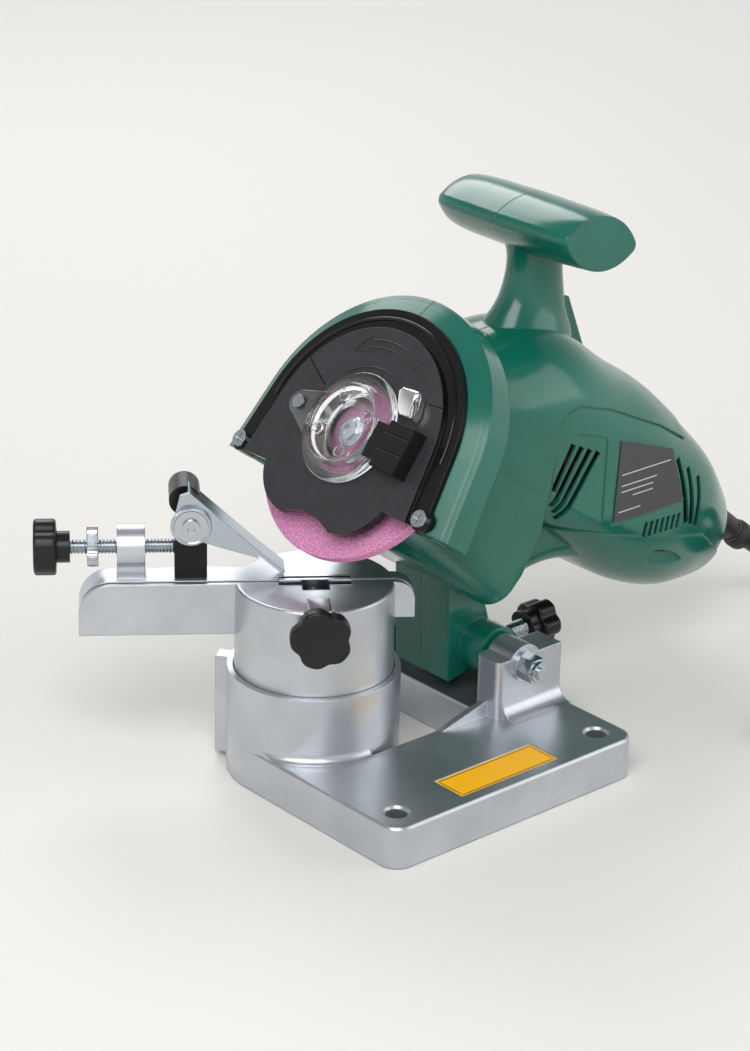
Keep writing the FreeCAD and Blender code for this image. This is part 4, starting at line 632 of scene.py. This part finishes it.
# threaded rods: the real pitches of 1.0 and 1.25 mm are too fine to show, so the crests stand
# 1.35 and 1.5 mm apart; the shape's depth is a share of the pitch
threadShape = {"depth": 0.42, "rowsPerPitch": 8, "steps": 24, "steep": 1.6, "crest": 0.3,
               "chamfer": 0.3}
stopThreadSet = {"at": (47.85, -11.0, 92.4), "radius": 3.0, "pitch": 1.35, "length": 50.75}
depthThreadSet = {"at": (58.7, 77.9, 27.0), "radius": 4.0, "pitch": 1.5, "length": 36.3}
clampThreadSet = {"at": (0, 2.65, 74.0), "radius": 3.0, "pitch": 1.35, "length": 38.25}


def addThread(name, place, values, shape, body, node):
    radius, pitch, length = values["radius"], values["pitch"], values["length"]
    depth = shape["depth"] * pitch
    rows = int(length / pitch * shape["rowsPerPitch"])
    profile = [(radius, length * i / rows) for i in range(rows + 1)]

    def wave(a, r, h):
        lead = min(1.0, min(h, length - h) / pitch)
        slope = abs(((h / pitch - a / (2 * math.pi)) % 1.0) * 2 - 1)
        cut = min(1.0, max(0.0, slope * shape["steep"] - shape["crest"]))
        return r - depth * cut - shape["chamfer"] * (1 - lead)

    verts, faces = rings(turned(profile, shape["steps"], wave))
    addPiece(name, verts, faces, finish["zinc"], body, "zinc_steel", stands=[node], sharp=60,
             place=place)


addThread("stopThreadedRod", onVise(stopThreadSet["at"], alongX), stopThreadSet, threadShape,
          "stop_adjuster", "stop_screw")
addThread("depthThreadedRod", onFoot(depthThreadSet["at"], alongX), depthThreadSet, threadShape,
          "depth_adjuster", "depth_screw")
addThread("clampThreadedRod", onVise(clampThreadSet["at"], alongY), clampThreadSet, threadShape,
          "clamp", "clamp_screw")
print("threads cut")


# knurled lock nut and the knurled thrust washer under the pawl's screw
lockNutSet = {"at": (85.9, -11.0, 92.4), "radius": 8.0, "bore": 3.0, "length": 4.6, "teeth": 44,
              "depth": 0.4}
thrustWasherSet = {"at": (49.3, -0.9, 105.3), "radius": 8.2, "bore": 2.1, "length": 2.4,
                   "teeth": 48, "depth": 0.35}


def addKnurled(name, place, values, body, node):
    teeth, depth, radius = values["teeth"], values["depth"], values["radius"]
    bore, length = values["bore"], values["length"]
    chamfer, recess, edge, rimWidth, knurlBand, stepsPerTooth = 0.3, 0.25, 0.5, 1.2, 0.9, 4

    def wave(a, r, h):
        bite = abs(((a * teeth / math.pi) % 2) - 1)
        return r - depth * bite * (r > radius - knurlBand)

    profile = [(bore, length * 0.5), (bore, chamfer), (bore + chamfer, 0.0),
               (radius - rimWidth, 0.0)]
    profile += roundedProfile(radius, 0.0, length, edge, steps=3)
    profile += [(radius - rimWidth, length), (radius - 1.6, length - recess),
                (bore + 1.4, length - recess), (bore + chamfer, length), (bore, length - chamfer)]
    verts, faces = rings(turned(profile, teeth * stepsPerTooth, wave), closed=True)
    addPiece(name, verts, faces, finish["zinc"], body, "zinc_steel", stands=[node], sharp=25,
             place=place)


addKnurled("knurledLockNut", onVise(lockNutSet["at"], alongX), lockNutSet, "stop_adjuster",
           "stop_lock_nut")
addKnurled("knurledThrustWasher", onVise(thrustWasherSet["at"], alongY), thrustWasherSet, "pawl",
           "pawl_hub")
print("knurled pieces made")


# beads and printed lines: a half-round strip along points, its flat side sunk a little
def addBead(name, points, width, height, normal, material, body, slot, closed=False):
    n = Vector(normal).normalized()
    sunk, sides = n * (0.1 * mm), 4
    rows = []
    count = len(points)
    for i, p in enumerate(points):
        before = points[i - 1] if i or closed else p
        after = points[(i + 1) % count] if i + 1 < count or closed else p
        way = (Vector(after) - Vector(before)).normalized()
        side = n.cross(way).normalized()
        row = []
        for k in range(sides + 1):
            a = math.pi * k / sides
            out, up = width / 2 * math.cos(a) * mm, height * math.sin(a) * mm
            row.append(Vector(p) + side * out + n * up)
        row.append(Vector(p) - side * (width / 2 * mm) - sunk)
        row.append(Vector(p) + side * (width / 2 * mm) - sunk)
        rows.append(row)
    verts, faces = rings(rows, closed)
    addPiece(name, verts, faces, material, body, slot, sharp=60)


# cover: turning arrow, ridge round the rim and line round the window's seat; each arc is
# (radius, first, last, steps), points are (y, z) on the face
coverSet = {"face": -11.5, "rimFace": -9.5, "arrowTip": [(19.0, 31.1), (13.4, 38.9), (12.2, 37.4)],
            "arrowOuter": (39.4, 72, 114, 8), "arrowInner": (36.2, 116, 72, 8),
            "arrowHeel": [(10.6, 32.6)], "arrowLine": (0.8, 0.5), "ridge": (49.6, 3, 177, 40),
            "ridgeLine": (1.8, 0.8), "seat": (26.4, 52, 158, 40), "seatCentre": (0.0, 1.5),
            "seatLine": (0.9, 0.4)}


def addCoverLine(name, x, outline, line, closed=False):
    points = [headPoint(x, y, z) for y, z in outline]
    addBead(name, points, *line, headWay(-1, 0, 0), finish["cover"], "head", "grey_plastic",
            closed=closed)


def addCoverDetail(values):
    arrow = values["arrowTip"] + arc(*values["arrowOuter"]) + arc(*values["arrowInner"])
    addCoverLine("turningArrow", values["face"], arrow + values["arrowHeel"],
                 values["arrowLine"], closed=True)
    addCoverLine("coverRidge", values["rimFace"], arc(*values["ridge"]), values["ridgeLine"])
    seat = arc(*values["seat"], centre=values["seatCentre"])
    addCoverLine("windowSeatEdge", values["face"], seat, values["seatLine"])


addCoverDetail(coverSet)


# clear cap over the hub: flange, raised rim, thin flat face, pivot tongue, catch tab and four
# rings; it stands off the cover by the lift, above the arrow and the seat's line
capSet = {"face": -11.6, "centreZ": 1.5, "lift": 0.6, "flange": 23.5, "flangeTop": 1.8,
          "rim": 17.3, "rimTop": 6.4, "pane": 15.7, "paneTop": 5.9, "wall": 1.0,
          "ear": (5.4, 78, -82, 8), "earCentre": (31.0, 3.0), "tongueTop": 2.2,
          "tongueEdge": 0.6, "tongueFrom": [(16.0, 10.5), (19.5, 11.0)],
          "tongueBack": [(20.0, -9.0), (16.0, -8.5)], "tabTop": 4.2, "tabEdge": 1.1,
          "tab": [(-17.2, 22.6), (-18.6, 24.4), (-27.0, 24.8), (-29.2, 23.8), (-31.8, 16.0),
                  (-31.4, 13.4), (-23.5, 13.6), (-21.0, 15.0)],
          "rings": 4, "ringsFrom": 62, "ringsAt": 12.2, "ringRadius": 2.8}


def slab(outline, x, low, high, edge):
    # closed plate on an outline of (y, z), its upper edge rounded off in two steps
    count = len(outline)
    middle = (sum(p[0] for p in outline) / count, sum(p[1] for p in outline) / count)

    def drawn(inset):
        row = []
        for y, z in outline:
            away = Vector((y - middle[0], z - middle[1]))
            away *= max(0.0, away.length - inset) / away.length
            row.append((middle[0] + away.x, middle[1] + away.y))
        return row

    rows = []
    steps = ((0.0, low), (0.0, high - edge), (edge * 0.3, high - edge * 0.3), (edge, high))
    for inset, h in steps:
        rows.append([headPoint(x - h, y, z) for y, z in drawn(inset)])
    return rings(rows)


def addClear(name, skin, **more):
    addPiece(name, *skin, finish["clear"], "window", "clear_plastic", **more)


def capProfile(values):
    flange, top, wall, lift = (values[k] for k in ("flange", "flangeTop", "wall", "lift"))
    rim, rimTop, pane, paneTop = (values[k] for k in ("rim", "rimTop", "pane", "paneTop"))
    hollow = [(0.05, paneTop - wall), (pane, paneTop - wall),
              (rim - wall - 0.1, paneTop - wall - 0.4), (rim - wall + 0.1, 1.4),
              (rim - wall + 0.5, 0.8)]
    brim = [(rim + 0.6, lift), (flange - 0.2, lift), (flange, 0.8), (flange, top - 0.7),
            (flange - 0.2, top - 0.25), (flange - 0.7, top), (rim + 1.1, top)]
    crown = [(rim + 0.5, top + 0.3), (rim + 0.25, top + 0.9), (rim, rimTop - 0.9),
             (rim - 0.15, rimTop - 0.35), (rim - 0.5, rimTop - 0.05), (rim - 0.9, rimTop),
             (rim - 1.3, rimTop - 0.15), (pane, paneTop), (0.05, paneTop)]
    return hollow + brim + crown


def addWindow(values):
    face, centreZ, lift = values["face"], values["centreZ"], values["lift"]
    addClear("clearCap", rings(turned(capProfile(values), steps=72)), stands=["viewing_window"],
             sharp=50, place=onCover(face, 0, centreZ))
    ear = arc(*values["ear"], centre=values["earCentre"])
    tongue = values["tongueFrom"] + ear + values["tongueBack"]
    addClear("capTongue", slab(tongue, face, lift, values["tongueTop"], values["tongueEdge"]),
             sharp=60)
    addClear("capTab", slab(values["tab"], face, lift, values["tabTop"], values["tabEdge"]),
             sharp=60)
    r = values["ringRadius"]
    ringProfile = [(r - 0.7, -0.3), (r, -0.3), (r, 0.35), (r - 0.2, 0.5), (r - 0.5, 0.5),
                   (r - 0.7, 0.35)]
    for i in range(values["rings"]):
        a = math.radians(values["ringsFrom"] + 360 / values["rings"] * i)
        y, z = values["ringsAt"] * math.cos(a), centreZ + values["ringsAt"] * math.sin(a)
        addClear("capRing" + str(i + 1), rings(turned(ringProfile, steps=28), closed=True),
                 place=onCover(face - values["paneTop"], y, z))


addWindow(capSet)
print("cover details added")


# foot label: a plain plate with a thin printed border
borderSet = {"plateTop": 17.5, "down": 0.15, "halfWidth": 24.6, "halfDepth": 6.9, "centreY": 1.3,
             "steps": 6, "line": (0.5, 0.05)}


def addLabelBorder(values):
    z = values["plateTop"] - values["down"]
    half, deep, cy = values["halfWidth"], values["halfDepth"], values["centreY"]
    steps = values["steps"]
    corners = [(-half, cy - deep), (half, cy - deep), (half, cy + deep), (-half, cy + deep)]
    points = []
    for (ax, ay), (bx, by) in zip(corners, corners[1:] + corners[:1]):
        for k in range(steps):
            points.append(Vector((ax + (bx - ax) * k / steps, ay + (by - ay) * k / steps, z)) * mm)
    addBead("baseLabelBorder", points, *values["line"], alongZ, finish["darkInk"], "base",
            "yellow_label", closed=True)


addLabelBorder(borderSet)


# motor label: plain level rules on the grey plate, as (from, to, up) from its low corner
ruleSet = {"corner": (111.5, 20.5), "plate": -39.1, "line": (0.55, 0.05),
           "rules": ((5.0, 34.0, 21.5), (5.0, 26.0, 16.5), (5.0, 24.0, 13.8), (12.0, 24.0, 11.1),
                     (4.0, 17.0, 5.0))}


def addLabelRules(values):
    a = math.radians(headLean)
    cx, cz = values["corner"]
    for i, (first, last, up) in enumerate(values["rules"]):
        points = [headPoint(cx + u * math.cos(a) - up * math.sin(a), values["plate"],
                            cz + u * math.sin(a) + up * math.cos(a)) for u in (first, last)]
        addBead("labelRule" + str(i + 1), points, *values["line"], (0, -1, 0),
                finish["paleInk"], "head", "grey_label")


addLabelRules(ruleSet)
print("labels printed")


# stage: pale floor, soft lamps, white surroundings; places and distances in metres
stageSet = {"floor": "#e4e2de", "floorHalf": 4.0, "floorDown": 0.0003, "fade": (0.75, 2.6),
            "world": 0.5, "overhead": 0.3, "wallsTo": (0.02, 0.6), "aim": (0.05, 0.08, 0.09),
            "keyLamp": {"spot": (-0.75, -0.55, 1.15), "width": 0.9, "power": 12.0},
            "fillLamp": {"spot": (0.95, -0.95, 0.75), "width": 1.1, "power": 5.5},
            "rimLamp": {"spot": (0.55, 1.1, 1.05), "width": 0.8, "power": 8.0}}


def largest(tree, first, second):
    return addNode(tree, "Math", {"operation": "MAXIMUM"}, {0: first, 1: second}).outputs[0]


def addFloor(values):
    mesh = bpy.data.meshes.new("floor")
    half = values["floorHalf"]
    corners = [(-half, -half, 0), (half, -half, 0), (half, half, 0), (-half, half, 0)]
    mesh.from_pydata(corners, [], [(0, 1, 2, 3)])
    floor = addObject("floor", mesh)
    floor.location.z = -values["floorDown"]
    # seamless paper, pale and matt; far out it fades into the white room
    material, tree, shader, where = startMaterial("paleSeamlessPaper", values["floor"], 0.7)
    grain(tree, shader, where, size=2.0, strength=0.03, depth=0.05)
    away = addNode(tree, "VectorMath", {"operation": "LENGTH"}, {0: where}).outputs["Value"]
    near, far = values["fade"]
    fade = addNode(tree, "MapRange", {"interpolation_type": "SMOOTHSTEP", 1: near, 2: far},
                   {0: away}).outputs[0]
    path = addNode(tree, "LightPath").outputs
    looked = largest(tree, largest(tree, path["Is Camera Ray"], path["Is Glossy Ray"]),
                     path["Is Transmission Ray"])
    share = addNode(tree, "Math", {"operation": "MULTIPLY"}, {0: fade, 1: looked}).outputs[0]
    haze = addNode(tree, "Emission", {"Color": white, "Strength": 1.0})
    blend = addNode(tree, "MixShader", links={0: share, 1: shader.outputs[0], 2: haze.outputs[0]})
    out = next(n for n in tree.nodes if n.type == "OUTPUT_MATERIAL")
    tree.links.new(blend.outputs[0], out.inputs["Surface"])
    mesh.materials.append(material)


def addLamp(name, lampSet, target):
    data = bpy.data.lights.new(name, "AREA")
    data.shape = "SQUARE"
    data.size = lampSet["width"]
    data.energy = lampSet["power"]
    lamp = addObject(name, data)
    aim = Vector(target) - Vector(lampSet["spot"])
    turn = aim.to_track_quat("-Z", "Y").to_matrix().to_4x4()
    lamp.matrix_world = Matrix.Translation(lampSet["spot"]) @ turn


def addRoom(values):
    world = bpy.data.worlds.new("softRoom")
    bpy.context.scene.world = world
    world.use_nodes = True
    tree = world.node_tree
    tree.nodes.clear()
    path = addNode(tree, "LightPath").outputs
    plain = addNode(tree, "Background", {"Color": white, "Strength": values["world"]})
    bright = addNode(tree, "Background", {"Color": white, "Strength": 1.0})
    # shiny things see white walls that fade to a dim ceiling
    direction = addNode(tree, "TexCoord").outputs["Generated"]
    sky = addNode(tree, "SeparateXYZ", links={0: direction}).outputs["Z"]
    low, high = values["wallsTo"]
    fade = addNode(tree, "MapRange", {1: low, 2: high, 3: 1.0, 4: values["overhead"]},
                   {0: sky}).outputs[0]
    room = addNode(tree, "Background", {"Color": white}, {"Strength": fade})
    shiny = addNode(tree, "MixShader", links={0: path["Is Glossy Ray"], 1: plain.outputs[0],
                                              2: room.outputs[0]})
    seen = largest(tree, path["Is Camera Ray"], path["Is Transmission Ray"])
    mix = addNode(tree, "MixShader", links={0: seen, 1: shiny.outputs[0], 2: bright.outputs[0]})
    addNode(tree, "OutputWorld", links={"Surface": mix.outputs[0]})


addFloor(stageSet)
for name in ("keyLamp", "fillLamp", "rimLamp"):
    addLamp(name, stageSet[name], stageSet["aim"])
addRoom(stageSet)
bpy.context.scene.view_settings.view_transform = "Standard"
print("stage lit")
